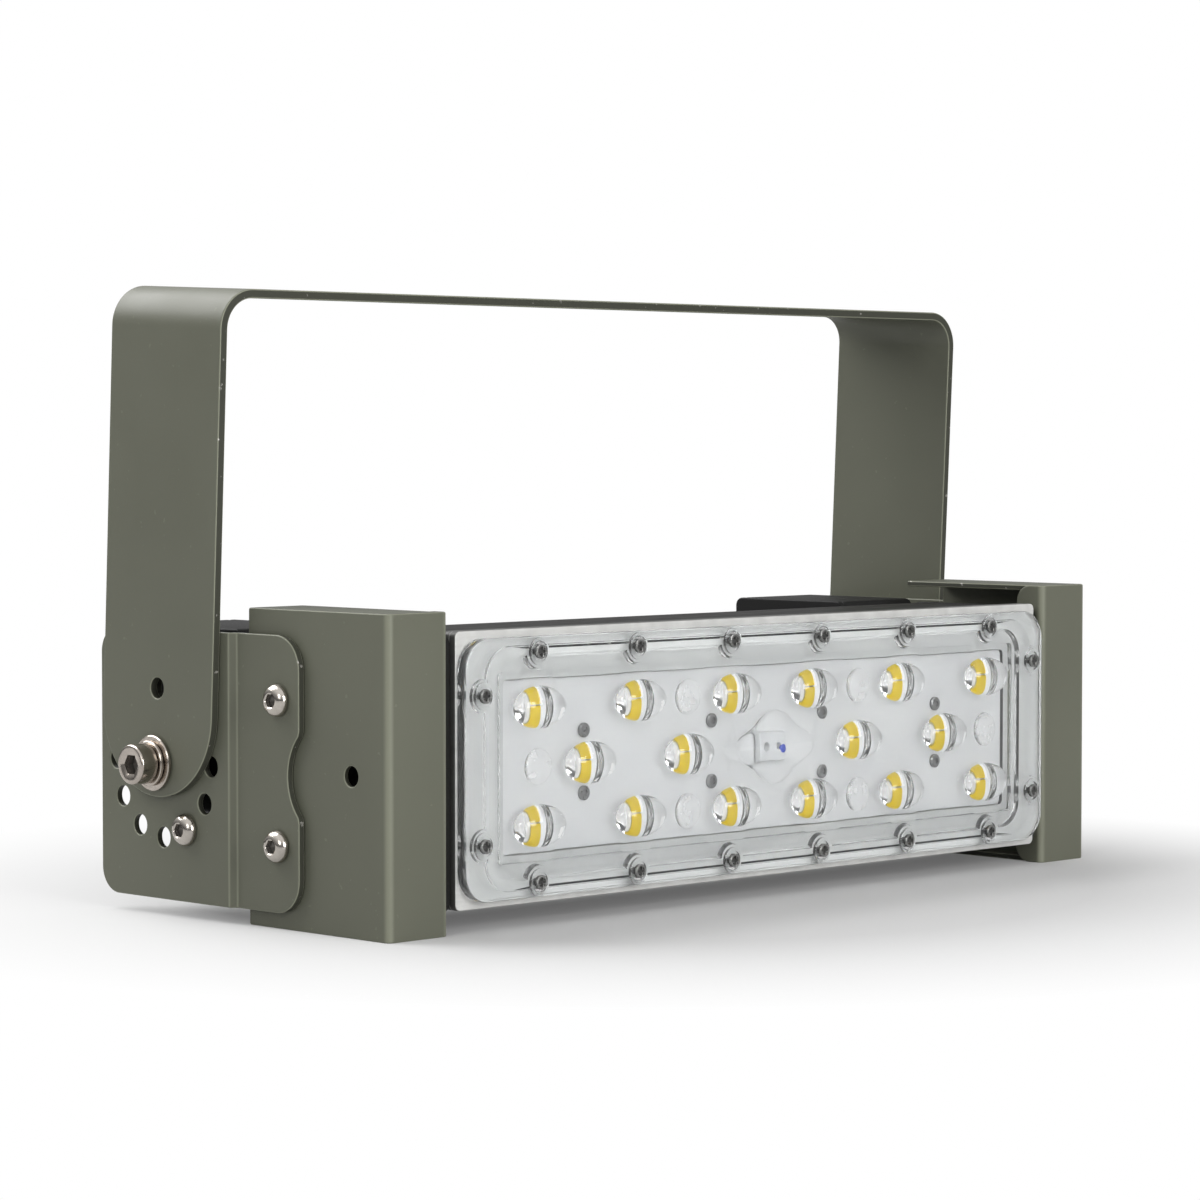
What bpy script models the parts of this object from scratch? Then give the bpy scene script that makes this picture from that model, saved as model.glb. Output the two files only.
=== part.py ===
"""LED flood light: a finned lamp head between two folded end brackets, tilting in a U yoke.

Frame: +X runs along the lamp, -Y is the side that the light leaves, +Z is up.
The origin is the middle of the bounding box, on the floor. All lengths are in metres.
"""
import math

import bmesh
import bpy
from mathutils import Matrix, Vector

MM = 0.001

# Clearances and cutting
GAP = 0.3 * MM
BORE_CLEARANCE = 0.3 * MM
OVERRUN = 1.0 * MM

# End brackets: folded sheet, open at the back
BODY_WIDTH = 342.0 * MM
BRACKET_WIDTH = 25.0 * MM
BRACKET_DEPTH = 66.6 * MM
BRACKET_HEIGHT = 101.0 * MM
BRACKET_SHEET = 2.0 * MM
BRACKET_BEND = 2.2 * MM
BRACKET_LIP = 12.0 * MM
BRACKET_LIP_CORNER = 6.0 * MM
BRACKET_HOLE = 6.5 * MM
BRACKET_HOLE_SETBACK = 17.4 * MM
BRACKET_HOLE_DROP = 0.2 * MM

# Side plates: jogged sheet that carries the yoke
PLATE_SHEET = 2.5 * MM
PLATE_FRONT = 39.0 * MM
PLATE_BEND = 70.9 * MM
PLATE_JOG = 2.0 * MM
PLATE_TAIL = 32.4 * MM
PLATE_BOTTOM = 5.3 * MM
PLATE_TOP_INSET = 8.0 * MM
PLATE_FRONT_CORNER = 11.0 * MM
PLATE_REAR_CORNER = 8.5 * MM
PLATE_NOTCH_DEPTH = 5.5 * MM
PLATE_NOTCH_RADIUS = 18.5 * MM
PLATE_NOTCH_DROP = 0.35 * MM

# Yoke and its pivot
PIVOT_SETBACK = 104.3 * MM
PIVOT_LIFT = 0.65 * MM
INDEX_RADIUS = 24.3 * MM
INDEX_STEP = 30.0
INDEX_HOLE = 6.8 * MM
YOKE_SHEET = 3.0 * MM
YOKE_WIDTH = 56.0 * MM
YOKE_RISE = 153.6 * MM
YOKE_BEND = 13.0 * MM
YOKE_TOE = 11.0 * MM
YOKE_LEAN = 2.6
YOKE_CENTRE_HOLE = 10.5 * MM
YOKE_SLOT_WIDTH = 8.5 * MM
YOKE_SLOT_LENGTH = 26.0 * MM
YOKE_SLOT_SPACING = 120.0 * MM

# Pivot fasteners, M8
PIVOT_SHANK = 8.0 * MM
PIVOT_HEAD = 13.0 * MM
PIVOT_HEAD_HEIGHT = 6.6 * MM
PIVOT_SOCKET = 6.0 * MM
PIVOT_SOCKET_DEPTH = 3.8 * MM
PIVOT_WASHER = 18.0 * MM
PIVOT_WASHER_SHEET = 1.4 * MM
PIVOT_SPRING_WASHER = 14.6 * MM
PIVOT_SPRING_WASHER_SHEET = 1.3 * MM
PIVOT_NUT = 13.0 * MM
PIVOT_NUT_HEIGHT = 6.4 * MM

# Plate and lock fasteners, M6 button heads
BUTTON_SHANK = 6.0 * MM
BUTTON_HEAD = 10.5 * MM
BUTTON_HEIGHT = 3.3 * MM
BUTTON_SOCKET = 4.0 * MM
BUTTON_SOCKET_DEPTH = 1.9 * MM
BUTTON_NUT = 10.0 * MM
BUTTON_NUT_HEIGHT = 4.8 * MM
SCREW_TAIL = 1.2 * MM
PLATE_SCREW_SETBACK = 48.7 * MM
PLATE_SCREW_LOW_INSET = 21.2 * MM
PLATE_SCREW_HIGH_INSET = 20.5 * MM
PARKED_ANGLE = 30.0

# Heat sink and its end plates
SINK_SETBACK = 7.3 * MM
SINK_BASE = 6.0 * MM
SINK_DEPTH = 48.0 * MM
SINK_INSET = 8.15 * MM
FIN_COUNT = 13
FIN_SHEET = 2.0 * MM
END_PLATE_SHEET = 3.1 * MM
END_PLATE_FRONT = 3.0 * MM
END_PLATE_DEPTH = 56.0 * MM
END_PLATE_BOTTOM = 6.9 * MM
END_PLATE_TOP_INSET = 7.4 * MM
LIP_SCREW_SHANK = 2.6 * MM
LIP_SCREW_HEAD = 5.0 * MM
LIP_SCREW_HEAD_HEIGHT = 1.8 * MM
LIP_SCREW_LENGTH = 16.0 * MM
LIP_SCREW_SETBACK = 9.4 * MM
LIP_SCREW_INSET = 11.35 * MM

# Lamp module: backing plate, board, lens cover
MODULE_LIFT = 0.5 * MM
MODULE_PLATE_OVERHANG = 1.3 * MM
MODULE_PLATE_SHEET = 6.0 * MM
MODULE_FACE = 1.0 * MM
BOARD_END_INSET = 18.5 * MM
BOARD_SIDE_INSET = 13.5 * MM
BOARD_SHEET = 1.6 * MM
BOARD_SETBACK = 2.0 * MM
POCKET_MARGIN = 1.5 * MM
LENS_END_INSET = 0.3 * MM
LENS_SIDE_INSET = 2.35 * MM
LENS_CORNER = 10.0 * MM
LENS_FLANGE = 4.1 * MM
LENS_EDGE_ROUND = 0.8 * MM
LENS_STEP_INSET_X = 8.0 * MM
LENS_STEP_INSET_Z = 3.0 * MM
LENS_STEP = 0.7 * MM
LENS_FIELD_INSET_X = 15.4 * MM
LENS_FIELD_INSET_Z = 7.0 * MM
LENS_FIELD_DROP = 1.4 * MM
LENS_RIM_SLOPE = 1.2 * MM
LENS_WALL = 2.0 * MM
LENS_HOLLOW_INSET = 11.0 * MM
LENS_FIRST_SCREW_INSET = 30.875 * MM
LENS_SCREW_ROW_INSET = 4.8 * MM
LENS_END_SCREW_INSET = 7.0 * MM
LENS_END_SCREW_DROP = 17.85 * MM
LENS_ROW_SCREWS = 6
LENS_BOSS_RADIUS = 5.4 * MM
LENS_SCREW_SHANK = 2.6 * MM
LENS_SCREW_LENGTH = 12.0 * MM
LENS_SCREW_HEAD = 4.6 * MM
LENS_SCREW_HEAD_HEIGHT = 1.2 * MM
GASKET_WIDTH = 2.2 * MM
GASKET_SHEET = 2.0 * MM
GASKET_INSET_X = 12.1 * MM
GASKET_INSET_Z = 9.4 * MM
LENS_LENGTH_DOME = 22.0 * MM
LENS_HEIGHT_DOME = 13.6 * MM
LENS_RISE_DOME = 5.6 * MM
BLANK_RADIUS = 6.0 * MM
BLANK_RISE = 0.8 * MM
HUB_LENGTH = 40.0 * MM
HUB_HEIGHT = 25.0 * MM
HUB_RISE = 2.4 * MM

# Places on the lamp face, from its middle, as shares of half the board's length and height
LED_ROW_SHARE = 0.67626
OUTER_LED_SHARES = (0.15466, 0.52308, 0.89069)
MIDDLE_LED_SHARES = (0.34008, 0.7085)
BLANK_SHARE = 0.34089
BLANK_END_SHARE = 0.89231
BOARD_HOLE_SHARES = (0.22105, 0.70202)
BOARD_HOLE_ROW_SHARE = 0.36331
BOARD_HOLE = 3.0 * MM
LED_SIDE = 5.0 * MM
LED_PITCH = 5.8 * MM
LED_RISE = 0.8 * MM
TERMINAL_LENGTH = 12.0 * MM
TERMINAL_HEIGHT = 9.0 * MM
TERMINAL_RISE = 1.8 * MM

# Driver boxes behind the side plates
BOX_STANDOFF = 8.1 * MM
BOX_LENGTH = 38.0 * MM
BOX_FRONT_SETBACK = 7.1 * MM
BOX_BACK_INSET = 4.2 * MM
BOX_HEIGHT = 60.1 * MM
BOX_OVERTOP = 0.5 * MM
BOX_WALL = 2.4 * MM
BOX_EDGE = 3.0 * MM
BOX_FOOT_RADIUS = 3.6 * MM
BOX_FOOT_INSET_Y = 8.0 * MM
BOX_FOOT_INSET_Z = 8.0 * MM
BOX_LID_SHEET = 2.4 * MM
BOX_LID_SPIGOT = 3.0 * MM
BOX_RIB = 4.0 * MM
DRIVER_SHEET = 1.6 * MM
DRIVER_MARGIN = 1.2 * MM
DRIVER_SETBACK = 12.0 * MM
COIL_SIDE = 15.0 * MM
COIL_RISE = 12.0 * MM
CAPACITOR_RADIUS = 4.5 * MM
CAPACITOR_INSET = 8.8 * MM
CAPACITOR_LENGTH = 16.0 * MM
GLAND_THREAD = 12.0 * MM
GLAND_HEX = 17.0 * MM
GLAND_HEX_HEIGHT = 4.6 * MM
GLAND_CAP = 15.4 * MM
GLAND_CAP_HEIGHT = 9.0 * MM
GLAND_BORE = 7.8 * MM
GLAND_SEAL_BORE = 6.4 * MM
GLAND_GAP = 1.0 * MM

# Facets
ROUND_STEPS = 4
FINE_SIDES = 24
HOLE_SIDES = 16
HEX_SIDES = 12
SMALL_SIDES = 8
DOME_SIDES = 14
DOME_RINGS = 3
DOME_CROWN = 62.0

# Worked out from the sizes above: heights
PLATE_TOP = BRACKET_HEIGHT - PLATE_TOP_INSET
PLATE_MIDDLE = (PLATE_BOTTOM + PLATE_TOP) / 2
PIVOT_RISE = PLATE_MIDDLE + PIVOT_LIFT
PLATE_NOTCH_RISE = PLATE_MIDDLE - PLATE_NOTCH_DROP
PLATE_SCREW_RISES = (PLATE_BOTTOM + PLATE_SCREW_LOW_INSET, PLATE_TOP - PLATE_SCREW_HIGH_INSET)
BRACKET_HOLE_RISE = BRACKET_HEIGHT / 2 - BRACKET_HOLE_DROP
MODULE_RISE = BRACKET_HEIGHT / 2 + MODULE_LIFT
END_PLATE_TOP = BRACKET_HEIGHT - END_PLATE_TOP_INSET
SINK_HEIGHT = BRACKET_HEIGHT - 2 * SINK_INSET
LIP_SCREW_SPREAD = SINK_HEIGHT - 2 * LIP_SCREW_INSET
MODULE_PLATE_HEIGHT = SINK_HEIGHT + 2 * MODULE_PLATE_OVERHANG
LENS_HEIGHT = MODULE_PLATE_HEIGHT - 2 * LENS_SIDE_INSET
LENS_SCREW_ROWS = LENS_HEIGHT - 2 * LENS_SCREW_ROW_INSET
LENS_END_SCREW_SPREAD = LENS_HEIGHT - 2 * LENS_END_SCREW_DROP
BOARD_HEIGHT = LENS_HEIGHT - 2 * BOARD_SIDE_INSET
BOX_TOP = PLATE_TOP + BOX_OVERTOP
BOX_BOTTOM = BOX_TOP - BOX_HEIGHT

# Depths
PLATE_REAR = PIVOT_SETBACK + PLATE_TAIL
BOX_FRONT = PLATE_BEND + BOX_FRONT_SETBACK
BOX_BACK = PLATE_REAR - BOX_BACK_INSET
REAR_MOST = PLATE_REAR
LENS_FRONT = MODULE_FACE - GAP - LENS_FLANGE
LENS_FIELD = LENS_FRONT - LENS_STEP + LENS_FIELD_DROP
FRONT_MOST = LENS_FIELD - LENS_RISE_DOME
DEPTH_MIDDLE = (REAR_MOST + FRONT_MOST) / 2

# Widths
WALL_OUT = BODY_WIDTH / 2
WALL_IN = WALL_OUT - BRACKET_SHEET
LIP_IN = WALL_OUT - BRACKET_WIDTH
LIP_OUT = LIP_IN + BRACKET_SHEET
PLATE_IN = WALL_OUT + GAP
PLATE_OUT = PLATE_IN + PLATE_SHEET
JOG_IN = PLATE_IN + PLATE_JOG
JOG_OUT = PLATE_OUT + PLATE_JOG
ARM_IN = JOG_OUT + GAP
ARM_OUT = ARM_IN + YOKE_SHEET
END_PLATE_OUT = LIP_IN - GAP
END_PLATE_IN = END_PLATE_OUT - END_PLATE_SHEET
MODULE_END = END_PLATE_IN - GAP
LENS_LENGTH = 2 * (MODULE_END - LENS_END_INSET)
LENS_SCREW_PITCH = (LENS_LENGTH - 2 * LENS_FIRST_SCREW_INSET) / (LENS_ROW_SCREWS - 1)
LENS_END_SCREWS = LENS_LENGTH - 2 * LENS_END_SCREW_INSET
BOARD_LENGTH = LENS_LENGTH - 2 * BOARD_END_INSET
BOX_OUTER = JOG_IN - BOX_STANDOFF
BOX_IN = BOX_OUTER - BOX_LENGTH
BOX_MIDDLE = BOX_OUTER - BOX_LENGTH / 2

# The heat sink's comb
SINK_BOTTOM = MODULE_RISE - SINK_HEIGHT / 2
SINK_TOP = MODULE_RISE + SINK_HEIGHT / 2
SINK_BACK = SINK_SETBACK + SINK_DEPTH
FIN_PITCH = (SINK_HEIGHT - FIN_SHEET) / (FIN_COUNT - 1)
SIDES = (("left", -1), ("right", 1))


def clear_scene():
    for item in list(bpy.data.objects):
        bpy.data.objects.remove(item, do_unlink=True)


def material(name, colour, roughness, metallic=0.0, alpha=1.0):
    """A Principled material; made once and shared by name."""
    found = bpy.data.materials.get(name)
    if found:
        return found
    made = bpy.data.materials.new(name)
    made.use_nodes = True
    shader = made.node_tree.nodes["Principled BSDF"]
    shader.inputs["Base Color"].default_value = (*colour, 1.0)
    shader.inputs["Roughness"].default_value = roughness
    shader.inputs["Metallic"].default_value = metallic
    shader.inputs["Alpha"].default_value = alpha
    return made


def olive_paint():
    return material("olive_paint", (0.135, 0.137, 0.108), 0.55, 0.1)


def steel():
    return material("steel", (0.62, 0.58, 0.54), 0.28, 1.0)


def black_metal():
    return material("black_metal", (0.012, 0.012, 0.011), 0.5, 0.3)


def bare_aluminium():
    return material("bare_aluminium", (0.42, 0.42, 0.40), 0.4, 0.9)


def black_plastic():
    return material("black_plastic", (0.016, 0.016, 0.015), 0.45)


def clear_plastic():
    return material("clear_plastic", (0.9, 0.92, 0.93), 0.08, 0.0, 0.3)


def white_board():
    return material("white_board", (0.86, 0.87, 0.86), 0.5)


def grey_rubber():
    return material("grey_rubber", (0.3, 0.3, 0.3), 0.7)


def green_board():
    return material("green_board", (0.03, 0.16, 0.07), 0.5)


def world_y(setback):
    """A distance behind the brackets' front face, as a world Y."""
    return setback - DEPTH_MIDDLE


def build_mesh(name, rings, caps, look):
    """One closed body from rings of points that have equal counts."""
    bm = bmesh.new()
    loops = [[bm.verts.new(point) for point in ring] for ring in rings]
    count = len(loops[0])
    for first, second in zip(loops, loops[1:]):
        for k in range(count):
            j = (k + 1) % count
            bm.faces.new((first[k], first[j], second[j], second[k]))
    if caps:
        bm.faces.new(loops[0])
        bm.faces.new(loops[-1])
    else:
        for k in range(count):
            j = (k + 1) % count
            bm.faces.new((loops[-1][k], loops[-1][j], loops[0][j], loops[0][k]))
    bmesh.ops.recalc_face_normals(bm, faces=bm.faces)
    return mesh_from(name, bm, look)


def mesh_from(name, bm, look):
    mesh = bpy.data.meshes.new(name)
    bm.to_mesh(mesh)
    bm.free()
    mesh.materials.append(look)
    body = bpy.data.objects.new(name, mesh)
    bpy.context.scene.collection.objects.link(body)
    return body


def copy_to(name, pattern, place, outward):
    """A copy of a fastener that shares its mesh; the mesh's +Z is turned to point outwards."""
    body = bpy.data.objects.new(name, pattern.data)
    body.location = place
    body.rotation_mode = "QUATERNION"
    body.rotation_quaternion = Vector((0.0, 0.0, 1.0)).rotation_difference(Vector(outward))
    bpy.context.scene.collection.objects.link(body)
    return body


def to_point(axis, along, a, b):
    """A point from its place along an axis and its two other coordinates, in X, Y, Z order."""
    if axis == "X":
        return (along, a, b)
    if axis == "Y":
        return (a, along, b)
    return (a, b, along)


def prism(name, outline, axis, low, high, look):
    """An outline carried straight along an axis."""
    rings = [[to_point(axis, along, a, b) for a, b in outline] for along in (low, high)]
    return build_mesh(name, rings, True, look)


def box(name, low, high, look):
    outline = [(low[0], low[1]), (high[0], low[1]), (high[0], high[1]), (low[0], high[1])]
    return prism(name, outline, "Z", low[2], high[2], look)


def circle(centre, radius, sides, turn=0.0):
    angles = [turn + math.tau * k / sides for k in range(sides)]
    return [(centre[0] + radius * math.cos(a), centre[1] + radius * math.sin(a)) for a in angles]


def rounded(corners, steps=ROUND_STEPS):
    """An outline of (a, b, radius) corners, with each radius drawn as an arc."""
    points = []
    count = len(corners)
    for k, (a, b, radius) in enumerate(corners):
        here = Vector((a, b))
        before = Vector(corners[k - 1][:2]) - here
        after = Vector(corners[(k + 1) % count][:2]) - here
        if radius == 0.0:
            points.append((a, b))
            continue
        before.normalize()
        after.normalize()
        half = before.angle(after) / 2
        centre = here + (before + after).normalized() * radius / math.sin(half)
        start = here + before * radius / math.tan(half) - centre
        end = here + after * radius / math.tan(half) - centre
        sweep = start.angle_signed(end)
        for n in range(steps + 1):
            spoke = Matrix.Rotation(-sweep * n / steps, 2) @ start
            points.append(tuple(centre + spoke))
    return points


def rounded_box(centre, size, radius, steps=ROUND_STEPS):
    a, b = size[0] / 2, size[1] / 2
    corners = [(-a, -b), (a, -b), (a, b), (-a, b)]
    return rounded([(centre[0] + u, centre[1] + v, radius) for u, v in corners], steps)


def join(name, bodies):
    """Several bodies in one object, which stay separate solids."""
    bm = bmesh.new()
    look = bodies[0].data.materials[0]
    for body in bodies:
        bm.from_mesh(body.data)
        bpy.data.objects.remove(body, do_unlink=True)
    for face in bm.faces:
        face.material_index = 0
    return mesh_from(name, bm, look)


def combine(target, tools, operation):
    """A live Boolean between a body and the joined tools, which stay as a hidden cutter."""
    cutter = join(target.name + "_" + operation.lower(), tools)
    cutter.hide_render = True
    cutter.display_type = "WIRE"
    change = target.modifiers.new(operation.lower(), "BOOLEAN")
    change.operation = operation
    change.solver = "EXACT"
    change.use_self = True
    change.object = cutter
    return cutter


def smooth(body, degrees=35.0):
    body.data.shade_smooth()
    body.data.set_sharp_from_angle(angle=math.radians(degrees))
    return body


def bore(axis, centre, diameter, low, high, sides=HOLE_SIDES):
    """A cutter for a round hole that overruns both faces."""
    outline = circle(centre, diameter / 2, sides)
    return prism("bore", outline, axis, low - OVERRUN, high + OVERRUN, steel())


def bore_between(axis, centre, diameter, first, second, sides=HOLE_SIDES):
    return bore(axis, centre, diameter, min(first, second), max(first, second), sides)


def index_angles():
    count = round(360.0 / INDEX_STEP)
    return [math.radians(INDEX_STEP * k) for k in range(count)]


def index_place(angle):
    """A hole of the index circle; the angle starts straight down and turns to the front."""
    y = world_y(PIVOT_SETBACK) - INDEX_RADIUS * math.sin(angle)
    return (y, PIVOT_RISE - INDEX_RADIUS * math.cos(angle))


def pivot_place():
    return (world_y(PIVOT_SETBACK), PIVOT_RISE)


def plate_screw_places():
    return [(world_y(PLATE_SCREW_SETBACK), rise) for rise in PLATE_SCREW_RISES]


def lip_screw_places():
    y = world_y(LIP_SCREW_SETBACK)
    return [(y, MODULE_RISE + k * LIP_SCREW_SPREAD / 2) for k in (-1, 1)]


def fin_rises():
    return [SINK_BOTTOM + FIN_SHEET / 2 + FIN_PITCH * k for k in range(FIN_COUNT)]


def lens_screw_places():
    """The cover's screws, from the middle of the module: two rows of six and two at each end."""
    places = {}
    first = -LENS_SCREW_PITCH * (LENS_ROW_SCREWS - 1) / 2
    for row, turn in (("upper", 1), ("lower", -1)):
        for k in range(LENS_ROW_SCREWS):
            places[f"{row}_{k + 1}"] = (first + LENS_SCREW_PITCH * k, turn * LENS_SCREW_ROWS / 2)
        for label, side in SIDES:
            place = (side * LENS_END_SCREWS / 2, turn * LENS_END_SCREW_SPREAD / 2)
            places[f"{label}_{row}"] = place
    return places


def on_board(share_x, share_z):
    """A place on the board, from shares of half its length and height."""
    return (share_x * BOARD_LENGTH / 2, share_z * BOARD_HEIGHT / 2)


def led_places():
    places = []
    for side in (-1, 1):
        for row in (-1, 1):
            places += [on_board(side * share, row * LED_ROW_SHARE) for share in OUTER_LED_SHARES]
        places += [on_board(side * share, 0.0) for share in MIDDLE_LED_SHARES]
    return places


def blank_places():
    signs = (-1, 1)
    places = [on_board(side * BLANK_SHARE, row * LED_ROW_SHARE) for side in signs for row in signs]
    return places + [on_board(side * BLANK_END_SHARE, 0.0) for side in signs]


def board_hole_places():
    signs = (-1, 1)
    return [on_board(side * share, row * BOARD_HOLE_ROW_SHARE)
            for side in signs for share in BOARD_HOLE_SHARES for row in signs]


def on_module(place):
    return (place[0], MODULE_RISE + place[1])


def end_bracket(label, side):
    """Outer wall, front wall and inner lip folded from one sheet, with folded top and bottom tabs."""
    back = world_y(BRACKET_DEPTH)
    front = world_y(0.0)
    lip_back = world_y(BRACKET_LIP)
    inner_bend = BRACKET_BEND - BRACKET_SHEET
    corners = [
        (side * WALL_OUT, back, 0.0),
        (side * WALL_OUT, front, BRACKET_BEND),
        (side * LIP_IN, front, BRACKET_BEND),
        (side * LIP_IN, lip_back, 0.0),
        (side * LIP_OUT, lip_back, 0.0),
        (side * LIP_OUT, front + BRACKET_SHEET, inner_bend),
        (side * WALL_IN, front + BRACKET_SHEET, inner_bend),
        (side * WALL_IN, back, 0.0),
    ]
    name = "end_bracket_" + label
    body = prism(name, rounded(corners), "Z", 0.0, BRACKET_HEIGHT, olive_paint())
    tabs = []
    for low in (0.0, BRACKET_HEIGHT - BRACKET_SHEET):
        edges = sorted((side * (WALL_IN + BRACKET_SHEET / 2), side * (LIP_OUT + GAP)))
        tab_low = (edges[0], front + BRACKET_SHEET / 2, low)
        tab_high = (edges[1], back, low + BRACKET_SHEET)
        tabs.append(box("tab", tab_low, tab_high, olive_paint()))
    combine(body, tabs, "UNION")
    cuts = [bore_between("X", (world_y(BRACKET_HOLE_SETBACK), BRACKET_HOLE_RISE), BRACKET_HOLE,
                         side * WALL_IN, side * WALL_OUT)]
    for place in plate_screw_places():
        diameter = BUTTON_SHANK + 2 * BORE_CLEARANCE
        cuts.append(bore_between("X", place, diameter, side * WALL_IN, side * WALL_OUT))
    for place in lip_screw_places():
        diameter = LIP_SCREW_SHANK + 2 * BORE_CLEARANCE
        cuts.append(bore_between("X", place, diameter, side * LIP_IN, side * LIP_OUT, SMALL_SIDES))
    for rise, turn in ((0.0, 1), (BRACKET_HEIGHT, -1)):
        cuts.append(lip_corner_cutter(side, rise, turn, lip_back))
    combine(body, cuts, "DIFFERENCE")
    return smooth(body)


def lip_corner_cutter(side, rise, turn, lip_back):
    """The piece outside the rounded rear corner of the inner lip."""
    radius = BRACKET_LIP_CORNER
    outline = [(lip_back + OVERRUN, rise - turn * OVERRUN), (lip_back - radius, rise - turn * OVERRUN)]
    outline.append((lip_back - radius, rise))
    for k in range(1, ROUND_STEPS + 1):
        angle = math.pi / 2 * k / ROUND_STEPS
        a = lip_back - radius + radius * math.sin(angle)
        outline.append((a, rise + turn * radius * (1 - math.cos(angle))))
    outline.append((lip_back + OVERRUN, rise + turn * radius))
    low, high = sorted((side * (LIP_IN - OVERRUN), side * (LIP_OUT + GAP / 2)))
    return prism("lip_corner", outline, "X", low, high, steel())


def plate_outline():
    """The side plate seen from outside: rounded corners and a round notch in the front edge."""
    front = world_y(PLATE_FRONT)
    rear = world_y(PLATE_REAR)
    half = math.acos((PLATE_NOTCH_RADIUS - PLATE_NOTCH_DEPTH) / PLATE_NOTCH_RADIUS)
    centre = front + PLATE_NOTCH_DEPTH - PLATE_NOTCH_RADIUS
    points = rounded([
        (front, PLATE_TOP, PLATE_FRONT_CORNER),
        (rear, PLATE_TOP, PLATE_REAR_CORNER),
        (rear, PLATE_BOTTOM, PLATE_REAR_CORNER),
        (front, PLATE_BOTTOM, PLATE_FRONT_CORNER),
    ])
    steps = 2 * ROUND_STEPS
    for k in range(steps + 1):
        angle = -half + 2 * half * k / steps
        y = centre + PLATE_NOTCH_RADIUS * math.cos(angle)
        points.append((y, PLATE_NOTCH_RISE + PLATE_NOTCH_RADIUS * math.sin(angle)))
    return points


def side_plate(label, side):
    """A sheet screwed to the bracket, jogged outwards behind it, with the yoke's index circle."""
    front = world_y(PLATE_FRONT) - OVERRUN
    rear = world_y(PLATE_REAR) + OVERRUN
    bend = world_y(PLATE_BEND)
    plan = [
        (side * PLATE_OUT, front),
        (side * PLATE_OUT, bend - PLATE_JOG),
        (side * JOG_OUT, bend),
        (side * JOG_OUT, rear),
        (side * JOG_IN, rear),
        (side * JOG_IN, bend),
        (side * PLATE_IN, bend - PLATE_JOG),
        (side * PLATE_IN, front),
    ]
    low, high = PLATE_BOTTOM - OVERRUN, PLATE_TOP + OVERRUN
    body = prism("side_plate_" + label, plan, "Z", low, high, olive_paint())
    ends = sorted((side * (PLATE_IN - OVERRUN), side * (JOG_OUT + OVERRUN)))
    blank = prism("blank", plate_outline(), "X", ends[0], ends[1], olive_paint())
    combine(body, [blank], "INTERSECT")
    faces = (side * PLATE_IN, side * JOG_OUT)
    cuts = [bore_between("X", index_place(a), INDEX_HOLE, *faces) for a in index_angles()]
    cuts.append(bore_between("X", pivot_place(), PIVOT_SHANK + 2 * BORE_CLEARANCE, *faces))
    for place in plate_screw_places():
        cuts.append(bore_between("X", place, BUTTON_SHANK + 2 * BORE_CLEARANCE, *faces))
    combine(body, cuts, "DIFFERENCE")
    return smooth(body, 30.0)


def hex_ring(across, sides, turn=0.0):
    """Points on a hexagon at equal angles, so that a ring of them can join a circle's."""
    points = []
    for k in range(sides):
        angle = math.tau * k / sides
        off_flat = angle % math.radians(60.0) - math.radians(30.0)
        reach = across / 2 / math.cos(off_flat)
        points.append((reach * math.cos(angle + turn), reach * math.sin(angle + turn)))
    return points


def lofted(name, steps, caps, look, sides):
    """Rings up the Z axis: a number is a circle's radius, and a list is the ring's own points."""
    rings = []
    for z, ring in steps:
        outline = ring if isinstance(ring, list) else circle((0.0, 0.0), ring, sides)
        rings.append([(a, b, z) for a, b in outline])
    return build_mesh(name, rings, caps, look)


def button_pattern(grip):
    """A domed hex-socket screw: its head seats at Z = 0 and its shank reaches down by the grip."""
    head = BUTTON_HEAD / 2
    socket = hex_ring(BUTTON_SOCKET, HEX_SIDES)
    steps = [
        (-grip, BUTTON_SHANK / 2),
        (0.0, BUTTON_SHANK / 2),
        (0.0, head),
        (BUTTON_HEIGHT * 0.3, head),
        (BUTTON_HEIGHT * 0.72, head * 0.82),
        (BUTTON_HEIGHT, head * 0.5),
        (BUTTON_HEIGHT, socket),
        (BUTTON_HEIGHT - BUTTON_SOCKET_DEPTH, socket),
    ]
    return smooth(lofted("button_pattern", steps, True, steel(), HEX_SIDES))


def pivot_pattern(grip):
    """A socket-head screw with a chamfered rim."""
    head = PIVOT_HEAD / 2
    edge = PIVOT_HEAD / 16
    socket = hex_ring(PIVOT_SOCKET, HEX_SIDES)
    steps = [
        (-grip, PIVOT_SHANK / 2),
        (0.0, PIVOT_SHANK / 2),
        (0.0, head),
        (PIVOT_HEAD_HEIGHT - edge, head),
        (PIVOT_HEAD_HEIGHT, head - edge),
        (PIVOT_HEAD_HEIGHT, socket),
        (PIVOT_HEAD_HEIGHT - PIVOT_SOCKET_DEPTH, socket),
    ]
    return smooth(lofted("pivot_pattern", steps, True, steel(), HEX_SIDES))


def pan_pattern(head, shank, height, length):
    """A small pan-head screw."""
    steps = [
        (-length, shank / 2),
        (0.0, shank / 2),
        (0.0, head / 2),
        (height * 0.6, head / 2),
        (height, head * 0.36),
    ]
    return smooth(lofted("pan_pattern", steps, True, steel(), SMALL_SIDES))


def nut_pattern(across, thread, height):
    outer = hex_ring(across, HEX_SIDES)
    inner = thread / 2 + BORE_CLEARANCE
    steps = [(0.0, outer), (height, outer), (height, inner), (0.0, inner)]
    return smooth(lofted("nut_pattern", steps, False, steel(), HEX_SIDES))


def washer_pattern(outer, thread, sheet):
    inner = thread / 2 + BORE_CLEARANCE
    steps = [(0.0, outer / 2), (sheet, outer / 2), (sheet, inner), (0.0, inner)]
    return smooth(lofted("washer_pattern", steps, False, steel(), FINE_SIDES))


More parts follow.
